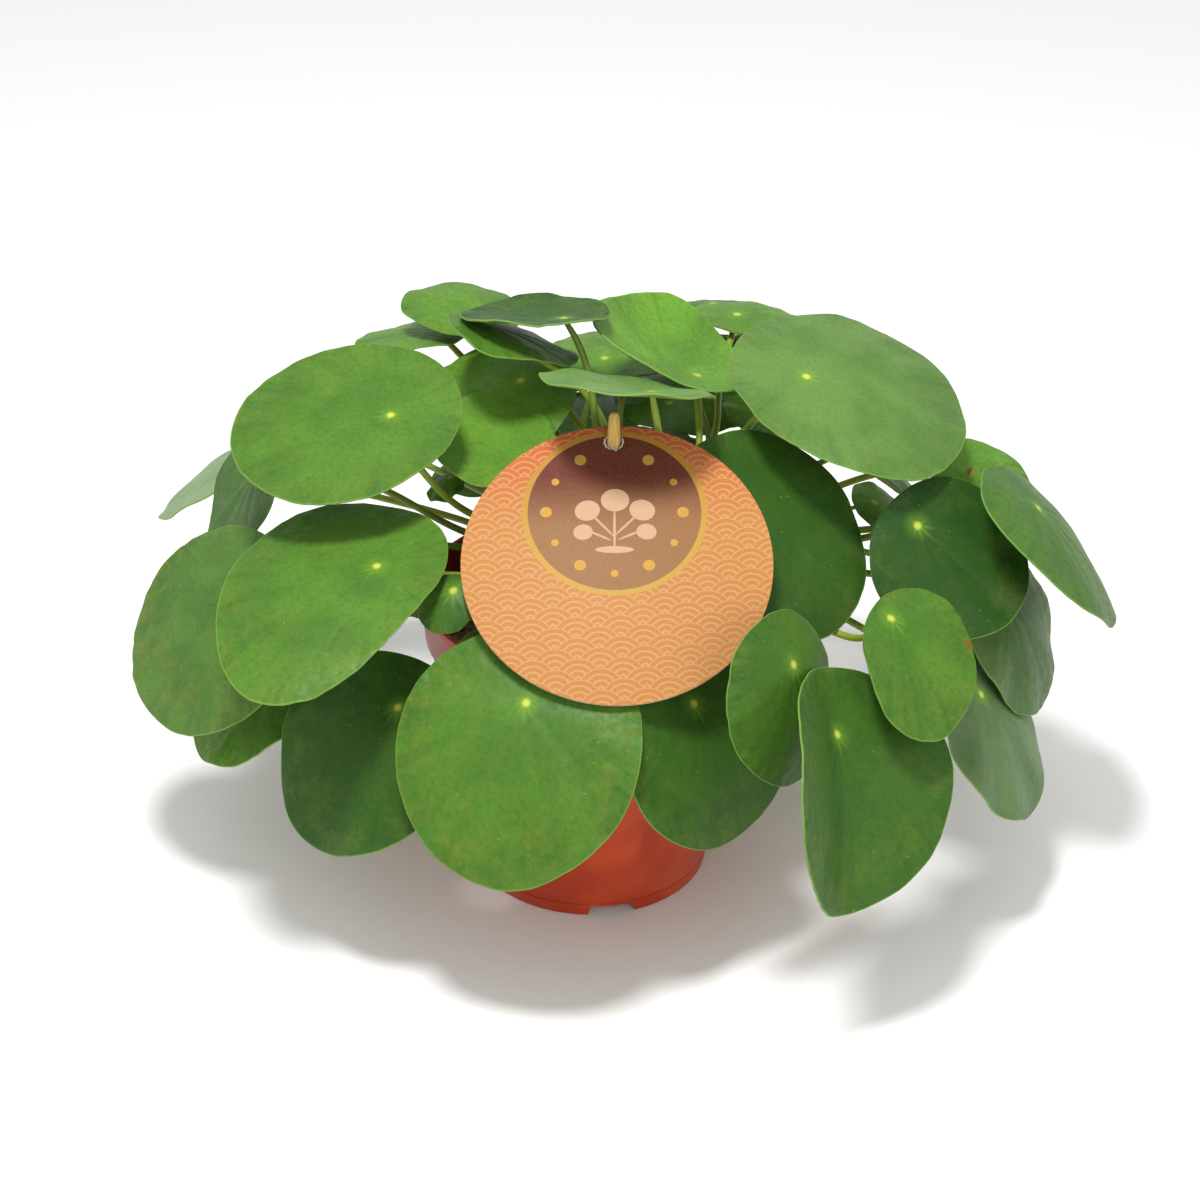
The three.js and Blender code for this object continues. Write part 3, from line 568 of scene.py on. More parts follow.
    # quilting by the finest veins, strongest near the rim
    cells = add("TexVoronoi", {"Vector": own_place, "Scale": 1 / (3.2 * MAP_SCALE), "Randomness": 0.9},
                out="Distance", feature="SMOOTH_F1")
    quilt_share = add("Math", {0: near_rim, 1: olive}, operation="MULTIPLY")
    quilt_share = add("Math", {0: quilt_share, 1: 1.0, 2: 0.08}, operation="MULTIPLY_ADD")
    quilt = add("Math", {0: cells, 1: quilt_share}, operation="MULTIPLY")
    skin = add("Bump", {"Height": quilt, "Distance": 0.8 * MM})
    ridges = add("Math", {0: streaks, 1: near_rim}, operation="MULTIPLY")
    skin = add("Bump", {"Height": ridges, "Distance": 0.15 * MM, "Normal": skin})
    skin = add("Bump", {"Height": fine, "Distance": 0.08 * MM, "Normal": skin})
    gloss = add("MapRange", {0: fine, 1: 0.3, 2: 0.7, 3: 0.38, 4: 0.5}, **SMOOTH)
    gloss = add("Math", {0: under, 1: 0.2, 2: gloss}, operation="MULTIPLY_ADD")
    return {"Base Color": colour, "Roughness": gloss, "Normal": skin, "IOR": 1.45, "Specular IOR Level": 0.17,
            "Subsurface Weight": 0.1, "Subsurface Radius": (0.6, 1.0, 0.2), "Subsurface Scale": 0.8 * MM}


LEAF_FINISH = make_finish("waxy leaf", waxy_leaf)

# %% Make the blades
for leaf in LEAVES:
    node = f"leaf_{leaf['number']:02d}"
    finish_piece(node + "_blade", blade(leaf), LEAF_FINISH, [node])
print("blade triangles about", 4 * RAYS * (RINGS + 2) * len(LEAVES))

# %% [markdown]
# ## The trunk's line and its scars
#
# Stalks grow from the trunk in rings, each ring turned by half a step, and a fallen leaf leaves a scar.
# The flattest stalks leave lowest, so that none crosses another. The smooth curve through a few points
# is a centripetal Catmull-Rom curve, as in the frame: it doesn't swing out between uneven points.

# %% Smooth lines and scars
POT_HEIGHT = 112
RIM_RADIUS = 60
TRUNK_POINTS = [Vector(p) for p in ((8, 6, 60), (10, 8, 93), (17, 10, 129))]
TRUNK_FOOT_RADIUS = 6.2
TRUNK_TOP_RADIUS = 5
TRUNK_SWELLS = 6
TRUNK_SWELL = 0.5
SCAR_RINGS = 10
SCARS_AROUND = 10
LOWEST_SCAR = 98
SCAR_SPACING = 3.3


def smooth_line(points, share):
    """The place on the smooth curve through the points."""
    position = min(max(share, 0), 1) * (len(points) - 1)
    index = min(int(position), len(points) - 2)
    t = position - index
    beyond = [2 * points[0] - points[1], *points, 2 * points[-1] - points[-2]]
    a, b, c, d = beyond[index:index + 4]
    before, here, after = (max((q - p).length, 1e-8) ** 0.5 for p, q in ((a, b), (b, c), (c, d)))
    leave = ((b - a) / before - (c - a) / (before + here) + (c - b) / here) * here
    arrive = ((c - b) / here - (d - b) / (here + after) + (d - c) / after) * here
    return (b + leave * t + (-3 * b + 3 * c - 2 * leave - arrive) * t ** 2
            + (2 * b - 2 * c + leave + arrive) * t ** 3)


def trunk_radius(share):
    swell = 1 + TRUNK_SWELL / TRUNK_FOOT_RADIUS * math.cos(2 * math.pi * TRUNK_SWELLS * share)
    return (TRUNK_FOOT_RADIUS + (TRUNK_TOP_RADIUS - TRUNK_FOOT_RADIUS) * share) * swell


def trunk_at(height):
    """The trunk's axis point at a height, and how far up the trunk that is."""
    low, high = 0.0, 1.0
    for _ in range(30):
        middle = (low + high) / 2
        if smooth_line(TRUNK_POINTS, middle).z < height:
            low = middle
        else:
            high = middle
    return smooth_line(TRUNK_POINTS, low), low


scars = [dict(angle=(i + ring % 2 / 2) * 2 * math.pi / SCARS_AROUND, height=LOWEST_SCAR + ring * SCAR_SPACING,
              taken=False) for ring in range(SCAR_RINGS) for i in range(SCARS_AROUND)]


def take_scar(heading, height):
    """The free scar nearest to a heading and a height."""
    def distance(scar):
        turn = math.remainder(scar["angle"] - heading, 2 * math.pi)
        return math.hypot(turn * TRUNK_FOOT_RADIUS * 2, scar["height"] - height)

    nearest = min((scar for scar in scars if not scar["taken"]), key=distance)
    nearest["taken"] = True
    return nearest


trunk_middle = TRUNK_POINTS[1].lerp(TRUNK_POINTS[2], 0.5)
for leaf in LEAVES:
    way = Vector(leaf["at"]) - trunk_middle
    leaf["slope"] = math.degrees(math.atan2(way.z, math.hypot(way.x, way.y)))
    leaf["heading"] = math.atan2(way.y, way.x)
for rank, leaf in enumerate(sorted(LEAVES, key=lambda row: row["slope"])):
    height = LOWEST_SCAR + SCAR_SPACING * (SCAR_RINGS - 1) * rank / (len(LEAVES) - 1)
    leaf["scar"] = take_scar(leaf["heading"] + math.radians(leaf.get("turn", 0)), height)
print("scars left bare:", sum(not scar["taken"] for scar in scars))

# %% [markdown]
# ## The stalks
#
# A stalk is a smooth juicy cylinder, a little thicker where it leaves the trunk. A ring of points is
# extruded from station to station along its line. Those of leaves that hang outside pass over the rim.

# %% Stalk lines
STALK_RADIUS = 1.25
THIN_STALK_RADIUS = 0.8
STALK_START = 0.9
STALK_SUNK = 0.3
STALK_RISE = -8
STALK_HANDLE = 0.35
HANGS_BELOW = 12
OVER_RIM = 2.4
STALK_BEND = 35
BEND_PER_DROOP = 0.6
STALK_STATIONS = 40
STALK_SIDES = 14
INTO_TRUNK = 2.2
SMALL_LEAF = 35
FOOT_SWELL = 0.25
NECK_WAIST = 0.45
SUNK_WIDTH = 1.3


def over_rim(start, end):
    """Where the straight way out, seen from above, crosses the pot's rim: a point just over it."""
    way = (end - start).xy
    inwards = start.xy.dot(way) / way.length_squared
    beyond = (start.xy.length_squared - RIM_RADIUS ** 2) / way.length_squared
    share = -inwards + math.sqrt(inwards ** 2 - beyond)
    return Vector((*(start.xy + share * way), POT_HEIGHT + STALK_RADIUS + OVER_RIM))


def stalk_line(leaf):
    """A function from 0 at the trunk to 1 at the blade, and the way that the stalk leaves the trunk."""
    tip, side, face = leaf_axes(leaf["aim"])
    foot = Vector(leaf["at"])
    centre, share = trunk_at(leaf["scar"]["height"])
    outward = Vector((math.cos(leaf["scar"]["angle"]), math.sin(leaf["scar"]["angle"]), 0))
    hangs = foot.z < POT_HEIGHT + HANGS_BELOW
    rise = 0 if hangs else math.radians(leaf.get("rise", leaf["slope"] + STALK_RISE))
    start = centre + outward * (trunk_radius(share) + STALK_START + STALK_RADIUS * math.sin(abs(rise)))
    via = [Vector(stop) for stop in leaf.get("via", ())] or ([over_rim(start, foot)] if hangs else [])
    bend = math.radians(STALK_BEND + BEND_PER_DROOP * leaf["aim"][1])
    arrive = (foot - via[-1]).normalized() if via else face * math.cos(bend) + tip * math.sin(bend)
    lean = math.sqrt(max(0, 1 - arrive.dot(face) ** 2))
    end = foot - face * max(0, STALK_RADIUS * lean - STALK_SUNK)
    if via:
        points = [start, *via, end]
        return lambda t: smooth_line(points, t), outward
    leave = outward * math.cos(rise) + Vector((0, 0, math.sin(rise)))
    handle = STALK_HANDLE * (foot - start).length
    a, b, c, d = start, start + leave * handle, end - arrive * handle, end

    def bezier(t):
        return a * (1 - t) ** 3 + 3 * b * t * (1 - t) ** 2 + 3 * c * t * t * (1 - t) + d * t ** 3

    return bezier, leave


# %% Tubes along a line
def tube(stations, radii, sides):
    """A closed tube. Its points know how far along they are (reach) and where they are in it (grain)."""
    bm = bmesh.new()
    reach = bm.verts.layers.float.new("reach")
    grain = bm.verts.layers.float_vector.new("grain")
    start = bmesh.ops.create_circle(bm, cap_ends=False, segments=sides, radius=1)["verts"]
    ring_edges = bm.edges[:]
    flat = [vert.co.copy() for vert in start]
    across = Vector((1, 0, 0))
    travelled = 0.0
    rings = [start]
    for index, (station, radius) in enumerate(zip(stations, radii)):
        ahead = stations[min(index + 1, len(stations) - 1)] - stations[max(index - 1, 0)]
        ahead.normalize()
        across = across - ahead * across.dot(ahead)
        if across.length < 1e-3:
            across = ahead.orthogonal()
        across.normalize()
        frame_here = Matrix((across, ahead.cross(across), ahead)).transposed()
        if index:
            travelled += (station - stations[index - 1]).length
            made = bmesh.ops.extrude_edge_only(bm, edges=ring_edges)["geom"]
            verts = [item for item in made if isinstance(item, bmesh.types.BMVert)]
            ring_edges = [item for item in made if isinstance(item, bmesh.types.BMEdge)
                          and all(vert in verts for vert in item.verts)]
            rings.append(ordered(rings[-1], verts))
        for vert, corner in zip(rings[-1], flat):
            vert.co = station + frame_here @ (corner * radius)
            vert[reach] = index / (len(stations) - 1)
            vert[grain] = Vector((corner.x * radius, corner.y * radius, travelled))
    for ring in (rings[0], rings[-1]):
        bmesh.ops.contextual_create(bm, geom=ring)
    close_and_face_outwards(bm)
    return bm


def ordered(before, verts):
    """The points of a newly extruded ring, in the order of those that they came from."""
    verts = set(verts)
    return [next(edge.other_vert(vert) for edge in vert.link_edges if edge.other_vert(vert) in verts)
            for vert in before]


# %% [markdown]
# The stalk's skin is smooth and a little see-through, yellow-green by the blade and darker or brownish
# by the trunk, with faint streaks along it. Each stalk follows its leaf's tone, painted light and shade
# included, so darker leaves have darker stalks.

# %% Stalk finish
def juicy_stalk(add):
    reach = add("Attribute", out="Fac", attribute_name="reach")
    tone = add("Attribute", out="Fac", attribute_name="tone")
    grain = add("Attribute", out="Vector", attribute_name="grain")
    long_grain = add("VectorMath", {0: grain, 1: (1, 1, 0.06)}, operation="MULTIPLY")
    streaks = add("TexNoise", {"Vector": long_grain, "Scale": 1 / 0.7, "Detail": 3})
    # the stalk's green follows its leaf's tone, which holds painted light and shade
    colour = add("Mix", {0: tone, 6: "#34591b", 7: "#8c9d28"}, **COLOURS)
    low_down = add("MapRange", {0: reach, 1: 0.0, 2: 0.45, 3: 0.6, 4: 0.0}, **SMOOTH)
    colour = add("Mix", {0: low_down, 6: colour, 7: "#3d4f1e"}, **COLOURS)
    pale = add("MapRange", {0: streaks, 1: 0.4, 2: 0.7, 3: 0.0, 4: 0.3}, **SMOOTH)
    colour = add("Mix", {0: pale, 6: colour, 7: "#a0aa46"}, **COLOURS)
    skin = add("Bump", {"Height": streaks, "Distance": 0.06 * MM})
    return {"Base Color": colour, "Normal": skin, "Roughness": 0.35, "IOR": 1.42, "Subsurface Weight": 0.15,
            "Subsurface Radius": (0.8, 1.0, 0.2), "Subsurface Scale": 1.2 * MM}


STALK_FINISH = make_finish("juicy stalk", juicy_stalk)

# %% Make the stalks
for leaf in LEAVES:
    line, leave = stalk_line(leaf)
    radius = THIN_STALK_RADIUS if leaf["size"][0] < SMALL_LEAF else STALK_RADIUS
    shares = [i / STALK_STATIONS for i in range(STALK_STATIONS + 1)]
    stations = [line(0) - leave * INTO_TRUNK] + [line(share) for share in shares]
    thickness = [1 + FOOT_SWELL * (1 - share) ** 6 - NECK_WAIST * share ** 24 for share in shares]
    bm = tube(stations, [radius * scale for scale in [SUNK_WIDTH] + thickness], STALK_SIDES)
    # each stalk takes a paler share of its leaf's tone, painted light and shade included
    mark(bm, tone=min(1, leaf["tone"] * 1.1 + 0.25))
    node = f"leaf_{leaf['number']:02d}"
    finish_piece(node + "_stalk", bm, STALK_FINISH, [node])
print("stalks:", len(LEAVES))

# %% [markdown]
# ## The trunk
#
# The short stem is woody and brown, ringed by the scars of fallen leaves: each is a shallow oval dish
# with a raised rim. A profile is spun into a tube, carried along the leaning line, and its skin is then
# moved in and out by the scars and by a little noise.

# %% Trunk shape
TRUNK_ROWS = 150
TRUNK_RAYS = 96
BARK_LUMPS = ((0.35, 2.5), (0.15, 0.9))
SCAR_RADIUS = 1.7
SCAR_RIM, SCAR_RIM_WIDTH = 0.45, 0.45
SCAR_DISH, SCAR_DISH_WIDTH = 0.25, 0.9
SCAR_FLATNESS = 1.2


def trunk_shape():
    profile = [(0, 0)] + [(trunk_radius(i / TRUNK_ROWS), i / TRUNK_ROWS) for i in range(TRUNK_ROWS + 1)]
    profile += [(TRUNK_TOP_RADIUS * 0.85, 1.015), (TRUNK_TOP_RADIUS * 0.6, 1.03), (0, 1.045)]
    bm = spun(profile, TRUNK_RAYS)
    close_and_face_outwards(bm)
    for vert in bm.verts:
        share = min(max(vert.co.z, 0), 1)
        centre = smooth_line(TRUNK_POINTS, share)
        outward = Vector((vert.co.x, vert.co.y, 0))
        spot = centre + outward + Vector((0, 0, (vert.co.z - share) * 100))
        if outward.length > 1:
            angle = math.atan2(outward.y, outward.x)
            push = roughness(spot, BARK_LUMPS)
            for scar in scars:
                turn = math.remainder(scar["angle"] - angle, 2 * math.pi)
                away = math.hypot(turn * outward.length, (scar["height"] - spot.z) * SCAR_FLATNESS)
                if away < 2 * SCAR_RADIUS:
                    push += SCAR_RIM * math.exp(-((away - SCAR_RADIUS) / SCAR_RIM_WIDTH) ** 2)
                    push -= SCAR_DISH * math.exp(-(away / SCAR_DISH_WIDTH) ** 2)
            spot += outward.normalized() * push
        vert.co = spot
    return bm


def scarred_bark(add):
    place = add("TexCoord", out="Object")
    rough = add("TexNoise", {"Vector": place, "Scale": 1 / (1.6 * MM), "Detail": 5, "Roughness": 0.65})
    patches = add("TexNoise", {"Vector": place, "Scale": 1 / (7 * MM)})
    dark = add("MapRange", {0: rough, 1: 0.3, 2: 0.7}, **SMOOTH)
    colour = add("Mix", {0: dark, 6: "#3f3222", 7: "#8a7550"}, **COLOURS)
    green = add("MapRange", {0: patches, 1: 0.5, 2: 0.75, 3: 0.0, 4: 0.5}, **SMOOTH)
    colour = add("Mix", {0: green, 6: colour, 7: "#6c7338"}, **COLOURS)
    skin = add("Bump", {"Height": rough, "Distance": 0.3 * MM})
    return {"Base Color": colour, "Normal": skin, "Roughness": 0.85}


BARK_FINISH = make_finish("dry scarred bark", scarred_bark)
finish_piece("trunk_bark", trunk_shape(), BARK_FINISH, ["trunk"])
print("trunk rings and rays:", TRUNK_ROWS, TRUNK_RAYS)

# %% [markdown]
# ## The peat
#
# Peat is dark brown crumbs and fibres, looser on top. Its surface is a spun profile pushed up and down
# by the frame's own mound and lumps, with crumbs strewn over it. Each crumb is a small lump of few
# faces, and all of them are one piece with the bed.

# %% Peat shape
GAP = 0.3
POT_WALL = 1.5
POT_BAND_HEIGHT = 18
POT_BODY_TOP_RADIUS = 57.2
POT_FOOT_RADIUS = 42
POT_FLOOR_TOP = 6
SOIL_TOP = 93
SOIL_SHOULDER = 4
SOIL_MOUND = 2.5
SOIL_MOUND_REACH = 30
SOIL_ROUGHNESS = 1.1
SOIL_RAYS = 160
SOIL_RINGS = 70
PEAT_LUMPS = ((0.9, 4), (0.5, 1.6))
PEAT_DROOP, PEAT_DROOP_START = 2.5, 0.96
CRUMBS = 1500
CRUMB_SEED = 12
CRUMB_MARGIN = 2.5
SMALLEST_CRUMB, CRUMB_SPREAD = 0.5, 1.6
CRUMB_SQUEEZE = ((0.7, 1.6), (0.6, 1), (0.5, 0.9))
CRUMB_ROUGHNESS = 0.35


def pot_wall_radius(height):
    slope = (POT_BODY_TOP_RADIUS - POT_FOOT_RADIUS) / (POT_HEIGHT - POT_BAND_HEIGHT)
    return POT_FOOT_RADIUS + slope * height


def soil_edge(height):
    return pot_wall_radius(height) - POT_WALL - GAP - 0.25


lump_draws = seeded(7)
LUMP_PHASES = [next(lump_draws) * 2 * math.pi for _ in range(4)]


def soil_height(x, y):
    """The frame's own surface: a low mound and gentle lumps."""
    mound = SOIL_MOUND * (math.exp(-(math.hypot(x, y) / SOIL_MOUND_REACH) ** 2) - 0.35)
    lumps = (math.sin(x * 0.31 + LUMP_PHASES[0]) * math.cos(y * 0.37 + LUMP_PHASES[1])
             + 0.6 * math.sin(x * 0.13 - y * 0.19 + LUMP_PHASES[2]))
    return SOIL_TOP + mound + SOIL_ROUGHNESS * lumps


def soil_shape():
    bottom = POT_FLOOR_TOP + GAP
    edge_top = soil_edge(SOIL_TOP - SOIL_SHOULDER)
    profile = [(edge_top * i / SOIL_RINGS, SOIL_TOP) for i in range(SOIL_RINGS + 1)]
    profile += [(edge_top, SOIL_TOP - SOIL_SHOULDER), (soil_edge(bottom), bottom), (0, bottom)]
    bm = spun(profile, SOIL_RAYS)
    close_and_face_outwards(bm)
    shade = bm.verts.layers.float.new("shade")
    for vert in bm.verts:
        if vert.co.z > SOIL_TOP - 0.5:
            spot = Vector((vert.co.x, vert.co.y, 0))
            droop = PEAT_DROOP * max(0, spot.length / edge_top - PEAT_DROOP_START) / (1 - PEAT_DROOP_START)
            vert.co.z = soil_height(spot.x, spot.y) + roughness(spot, PEAT_LUMPS) - droop
        vert[shade] = 0.3
    draws = random.Random(CRUMB_SEED)
    noise.seed_set(CRUMB_SEED)  # without it, noise_vector is seeded by the clock
    for _ in range(CRUMBS):
        radius = (edge_top - CRUMB_MARGIN) * math.sqrt(draws.random())
        angle = draws.uniform(0, 2 * math.pi)
        size = SMALLEST_CRUMB + CRUMB_SPREAD * draws.random() ** 2.5
        spot = Vector((radius * math.cos(angle), radius * math.sin(angle), 0))
        spot.z = soil_height(spot.x, spot.y) + size * 0.2
        turn = Matrix.Rotation(draws.uniform(0, math.pi), 4, Vector([draws.uniform(-1, 1) for _ in range(3)]))
        squeeze = Matrix.Diagonal([draws.uniform(*span) for span in CRUMB_SQUEEZE] + [1])
        lump = bmesh.ops.create_icosphere(bm, subdivisions=1, radius=size,
                                          matrix=Matrix.Translation(spot) @ turn @ squeeze)["verts"]
        darkness = draws.random()
        for vert in lump:
            vert.co += size * CRUMB_ROUGHNESS * noise.noise_vector(vert.co)
            vert[shade] = darkness
    return bm


def moist_peat(add):
    place = add("TexCoord", out="Object")
    shade = add("Attribute", out="Fac", attribute_name="shade")
    grit = add("TexNoise", {"Vector": place, "Scale": 1 / (1.2 * MM), "Detail": 6, "Roughness": 0.7})
    mixed = add("Math", {0: grit, 1: shade}, operation="MULTIPLY")
    light = add("MapRange", {0: mixed, 1: 0.05, 2: 0.5}, **SMOOTH)
    colour = add("Mix", {0: light, 6: "#150d09", 7: "#5a3f2a"}, **COLOURS)
    skin = add("Bump", {"Height": grit, "Distance": 0.6 * MM})
    return {"Base Color": colour, "Normal": skin, "Roughness": 0.95, "Specular IOR Level": 0.2}


finish_piece("peat", soil_shape(), make_finish("moist peat", moist_peat), ["soil"])
print("crumbs:", CRUMBS)

# %% [markdown]
# ## The pot
#
# A nursery pot is injection moulded: a thin wall with a draft, a wider band at the top that stiffens
# it, a small bead round the rim, a foot ring with four notches so that water runs out, and drain holes.
# Its profile is spun in fine steps, and the notches and holes are cut with a boolean.

# %% Pot shape
POT_BAND_RADIUS = 58.6
POT_FOOT_WIDTH = 5
POT_FOOT_HEIGHT = 4
POT_PAD_RADIUS = 12
POT_CORNER_RADIUS = 0.45
POT_RAYS = 240
MOULD_LINE_HEIGHT = 5.0
NOTCHES = 4
NOTCH_WIDTH = 15
NOTCH_SLOPE = 1.5
NOTCH_HEIGHT = 4.4
NOTCH_DEPTH = 16
CUT_PAST = 4
FIRST_NOTCH = 10.3
DRAINS = 8
DRAIN_RADIUS = 3.5
DRAIN_RING = 26
SHARP_FROM = 35


def rounded(corners, radius):
    """A profile whose corners are turned into short arcs. Each corner is (across, up, share of radius)."""
    points = []
    for index, (across, up, share) in enumerate(corners):
        here = Vector((across, up))
        if share == 0 or index in (0, len(corners) - 1):
            points.append(here)
            continue
        back = Vector(corners[index - 1][:2]) - here
        on = Vector(corners[index + 1][:2]) - here
        reach = min(radius * share, back.length * 0.45, on.length * 0.45)
        start, end = here + back.normalized() * reach, here + on.normalized() * reach
        for t in (0, 0.25, 0.5, 0.75, 1):
            points.append(start * (1 - t) ** 2 + here * 2 * t * (1 - t) + end * t ** 2)
    return points


def pot_shape():
    band_bottom = POT_HEIGHT - POT_BAND_HEIGHT
    inner_foot = POT_FOOT_RADIUS - POT_FOOT_WIDTH
    line = MOULD_LINE_HEIGHT
    corners = [
        (0, 0, 0), (POT_PAD_RADIUS, 0, 1), (POT_PAD_RADIUS + 1, POT_FOOT_HEIGHT, 1),
        (inner_foot, POT_FOOT_HEIGHT, 1), (inner_foot + 0.6, 0, 1), (POT_FOOT_RADIUS, 0, 2),
        (pot_wall_radius(line) - 0.05, line, 0), (pot_wall_radius(line) - 0.35, line + 0.25, 0),
        (pot_wall_radius(line + 1.6) - 0.05, line + 1.6, 0),
        (POT_BODY_TOP_RADIUS, band_bottom, 1), (POT_BAND_RADIUS, band_bottom + 0.8, 1),
        (RIM_RADIUS - 0.4, POT_HEIGHT - 3, 1), (RIM_RADIUS, POT_HEIGHT - 2.2, 1),
        (RIM_RADIUS, POT_HEIGHT - 0.3, 2), (RIM_RADIUS - 0.9, POT_HEIGHT, 2),
        (RIM_RADIUS - 2.1, POT_HEIGHT - 0.2, 2), (POT_BAND_RADIUS - POT_WALL, band_bottom + 2, 2),
        (POT_BODY_TOP_RADIUS - POT_WALL, band_bottom - 1, 1),
        (pot_wall_radius(POT_FLOOR_TOP) - POT_WALL, POT_FLOOR_TOP, 2), (0, POT_FLOOR_TOP, 0),
    ]
    bm = spun(rounded(corners, POT_CORNER_RADIUS), POT_RAYS)
    close_and_face_outwards(bm)
    return bm


def cutter(bm):
    """A passing object, in metres, that a boolean cuts with."""
    bmesh.ops.scale(bm, vec=(MM, MM, MM), verts=bm.verts)
    bmesh.ops.recalc_face_normals(bm, faces=bm.faces)
    data = bpy.data.meshes.new("cutter")
    bm.to_mesh(data)
    bm.free()
    tool = bpy.data.objects.new("cutter", data)
    bpy.context.scene.collection.objects.link(tool)
    return tool


def cut(piece, tool):
    """Cuts tool out of piece for good, and throws the tool away."""
    boolean = piece.modifiers.new("cut", "BOOLEAN")
    boolean.operation = "DIFFERENCE"
    boolean.solver = "EXACT"
    boolean.object = tool
    bpy.context.view_layer.update()
    before = piece.data
    after = bpy.data.meshes.new_from_object(piece.evaluated_get(bpy.context.evaluated_depsgraph_get()))
    piece.modifiers.clear()
    piece.data = after
    after.name = before.name
    bpy.data.meshes.remove(before)
    bpy.data.objects.remove(tool)
    after.set_sharp_from_angle(angle=math.radians(SHARP_FROM))


def notches_and_drains():
    bm = bmesh.new()
    for i in range(NOTCHES):
        block = bmesh.ops.create_cube(bm, size=1)["verts"]
        for vert in block:
            low = vert.co.z < 0
            half = NOTCH_WIDTH / 2 + (NOTCH_SLOPE if low else 0)
            vert.co.x = math.copysign(half, vert.co.x)
            vert.co.z = -1 if low else NOTCH_HEIGHT
            vert.co.y = -POT_FOOT_RADIUS + (NOTCH_DEPTH / 2 + CUT_PAST if vert.co.y > 0 else -CUT_PAST)
        turn = Matrix.Rotation(math.radians(FIRST_NOTCH + i * 360 / NOTCHES), 3, "Z")
        bmesh.ops.rotate(bm, cent=(0, 0, 0), matrix=turn, verts=block)
    for i in range(DRAINS):
        angle = (i + 0.5) * 2 * math.pi / DRAINS
        place = Matrix.Translation((DRAIN_RING * math.cos(angle), DRAIN_RING * math.sin(angle), 4))
        bmesh.ops.create_cone(bm, cap_ends=True, segments=32, radius1=DRAIN_RADIUS, radius2=DRAIN_RADIUS,
                              depth=20, matrix=place)
    return bm


# %% [markdown]
# Terracotta-coloured polypropylene: smooth and softly shiny, its colour even but for faint flow clouds,
# with a few fine scuffs. Thin plastic lets some red light through, which this finish leaves out.

# %% Pot finish
def moulded_plastic(add):
    place = add("TexCoord", out="Object")
    flow = add("TexNoise", {"Vector": place, "Scale": 1 / (22 * MM), "Detail": 2, "Distortion": 0.6})
    clouds = add("MapRange", {0: flow, 1: 0.35, 2: 0.7}, **SMOOTH)
    colour = add("Mix", {0: clouds, 6: "#ad3213", 7: "#c04419"}, **COLOURS)
    fine = add("TexNoise", {"Vector": place, "Scale": 1 / (0.9 * MM), "Detail": 3})
    dust = add("MapRange", {0: fine, 1: 0.62, 2: 0.8, 3: 0.0, 4: 0.12}, **SMOOTH)
    colour = add("Mix", {0: dust, 6: colour, 7: "#a8705a"}, **COLOURS)
    gloss = add("MapRange", {0: flow, 1: 0.3, 2: 0.7, 3: 0.34, 4: 0.44}, **SMOOTH)
    skin = add("Bump", {"Height": fine, "Distance": 0.03 * MM})
    return {"Base Color": colour, "Roughness": gloss, "Normal": skin, "IOR": 1.49, "Specular IOR Level": 0.45}


POT_FINISH = make_finish("moulded terracotta polypropylene", moulded_plastic)
pot = finish_piece("pot_shell", pot_shape(), POT_FINISH, ["pot"])
cut(pot, cutter(notches_and_drains()))
print("pot faces:", len(pot.data.polygons))

# %% [markdown]
# ## The card and its stick
#
# The round card leans back on a wooden stick that was pushed through a hole near its upper edge and
# tore the paper a little.

# %% Card and stick lines
CARD_RADIUS = 52.5
CARD_THICKNESS = 0.8
CARD_EDGE = 0.15
CARD_RAYS = 180
CARD_CENTRE = Vector((9, -36, 141.7))
CARD_LEAN = 56
STICK_HOLE = Vector((-1, 46, 0))
STICK_SOIL_POINT = Vector((7, -11, 93))
STICK_RADIUS = 2.3
STICK_TAPER = 9
STICK_TIP = [  # how far back from the tip, and the radius there
    (6, 2.15), (3.5, 1.98), (1.8, 1.8), (0.9, 1.55), (0.35, 1.15), (0.05, 0.6), (0, 0.15),
]
STICK_SIDES = 40
STICK_ABOVE = 11
STICK_FOOT = 55
HOLE_RADIUS = 2.45
TEAR_RAYS = 56
TEAR_THICKNESS = 0.18
TEAR_PROFILE = [(2.75, 0.3), (2.7, 0.7), (2.95, 1.3), (3.35, 1.9)]

card_place = Matrix.Translation(CARD_CENTRE) @ Matrix.Rotation(math.radians(90 - CARD_LEAN), 4, "X")
hole_point = card_place @ STICK_HOLE
stick_line = (hole_point - STICK_SOIL_POINT).normalized()
stick_place = Matrix.Translation(STICK_SOIL_POINT) @ stick_line.to_track_quat("Z", "Y").to_matrix().to_4x4()


def card_shape():
    bm = bmesh.new()
    bmesh.ops.create_cone(bm, cap_ends=True, segments=CARD_RAYS, radius1=CARD_RADIUS, radius2=CARD_RADIUS,
                          depth=CARD_THICKNESS)
    rim = [edge for edge in bm.edges if edge.calc_face_angle(0) > 1]
    bmesh.ops.bevel(bm, geom=rim, offset=CARD_EDGE, segments=2, profile=0.5, affect="EDGES", material=-1)
    bmesh.ops.transform(bm, matrix=card_place, verts=bm.verts)
    return bm


def hole_cutter():
    bm = bmesh.new()
    bmesh.ops.create_cone(bm, cap_ends=True, segments=40, radius1=HOLE_RADIUS, radius2=HOLE_RADIUS, depth=12,
                          matrix=Matrix.Translation(hole_point) @ stick_place.to_3x3().to_4x4())
    return bm


def stick_shape():
    reach = (hole_point - STICK_SOIL_POINT).length + STICK_ABOVE
    foot = -(STICK_SOIL_POINT.z - STICK_FOOT) / stick_line.z
    steps = [(foot, STICK_RADIUS * 0.96), (foot + 0.4, STICK_RADIUS)]
    steps += [(foot + (reach - STICK_TAPER - foot) * i / 12, STICK_RADIUS) for i in range(1, 13)]
    steps += [(reach - back, radius) for back, radius in STICK_TIP]
    stations = [STICK_SOIL_POINT + stick_line * along for along, _ in steps]
    return tube(stations, [radius for _, radius in steps], STICK_SIDES)


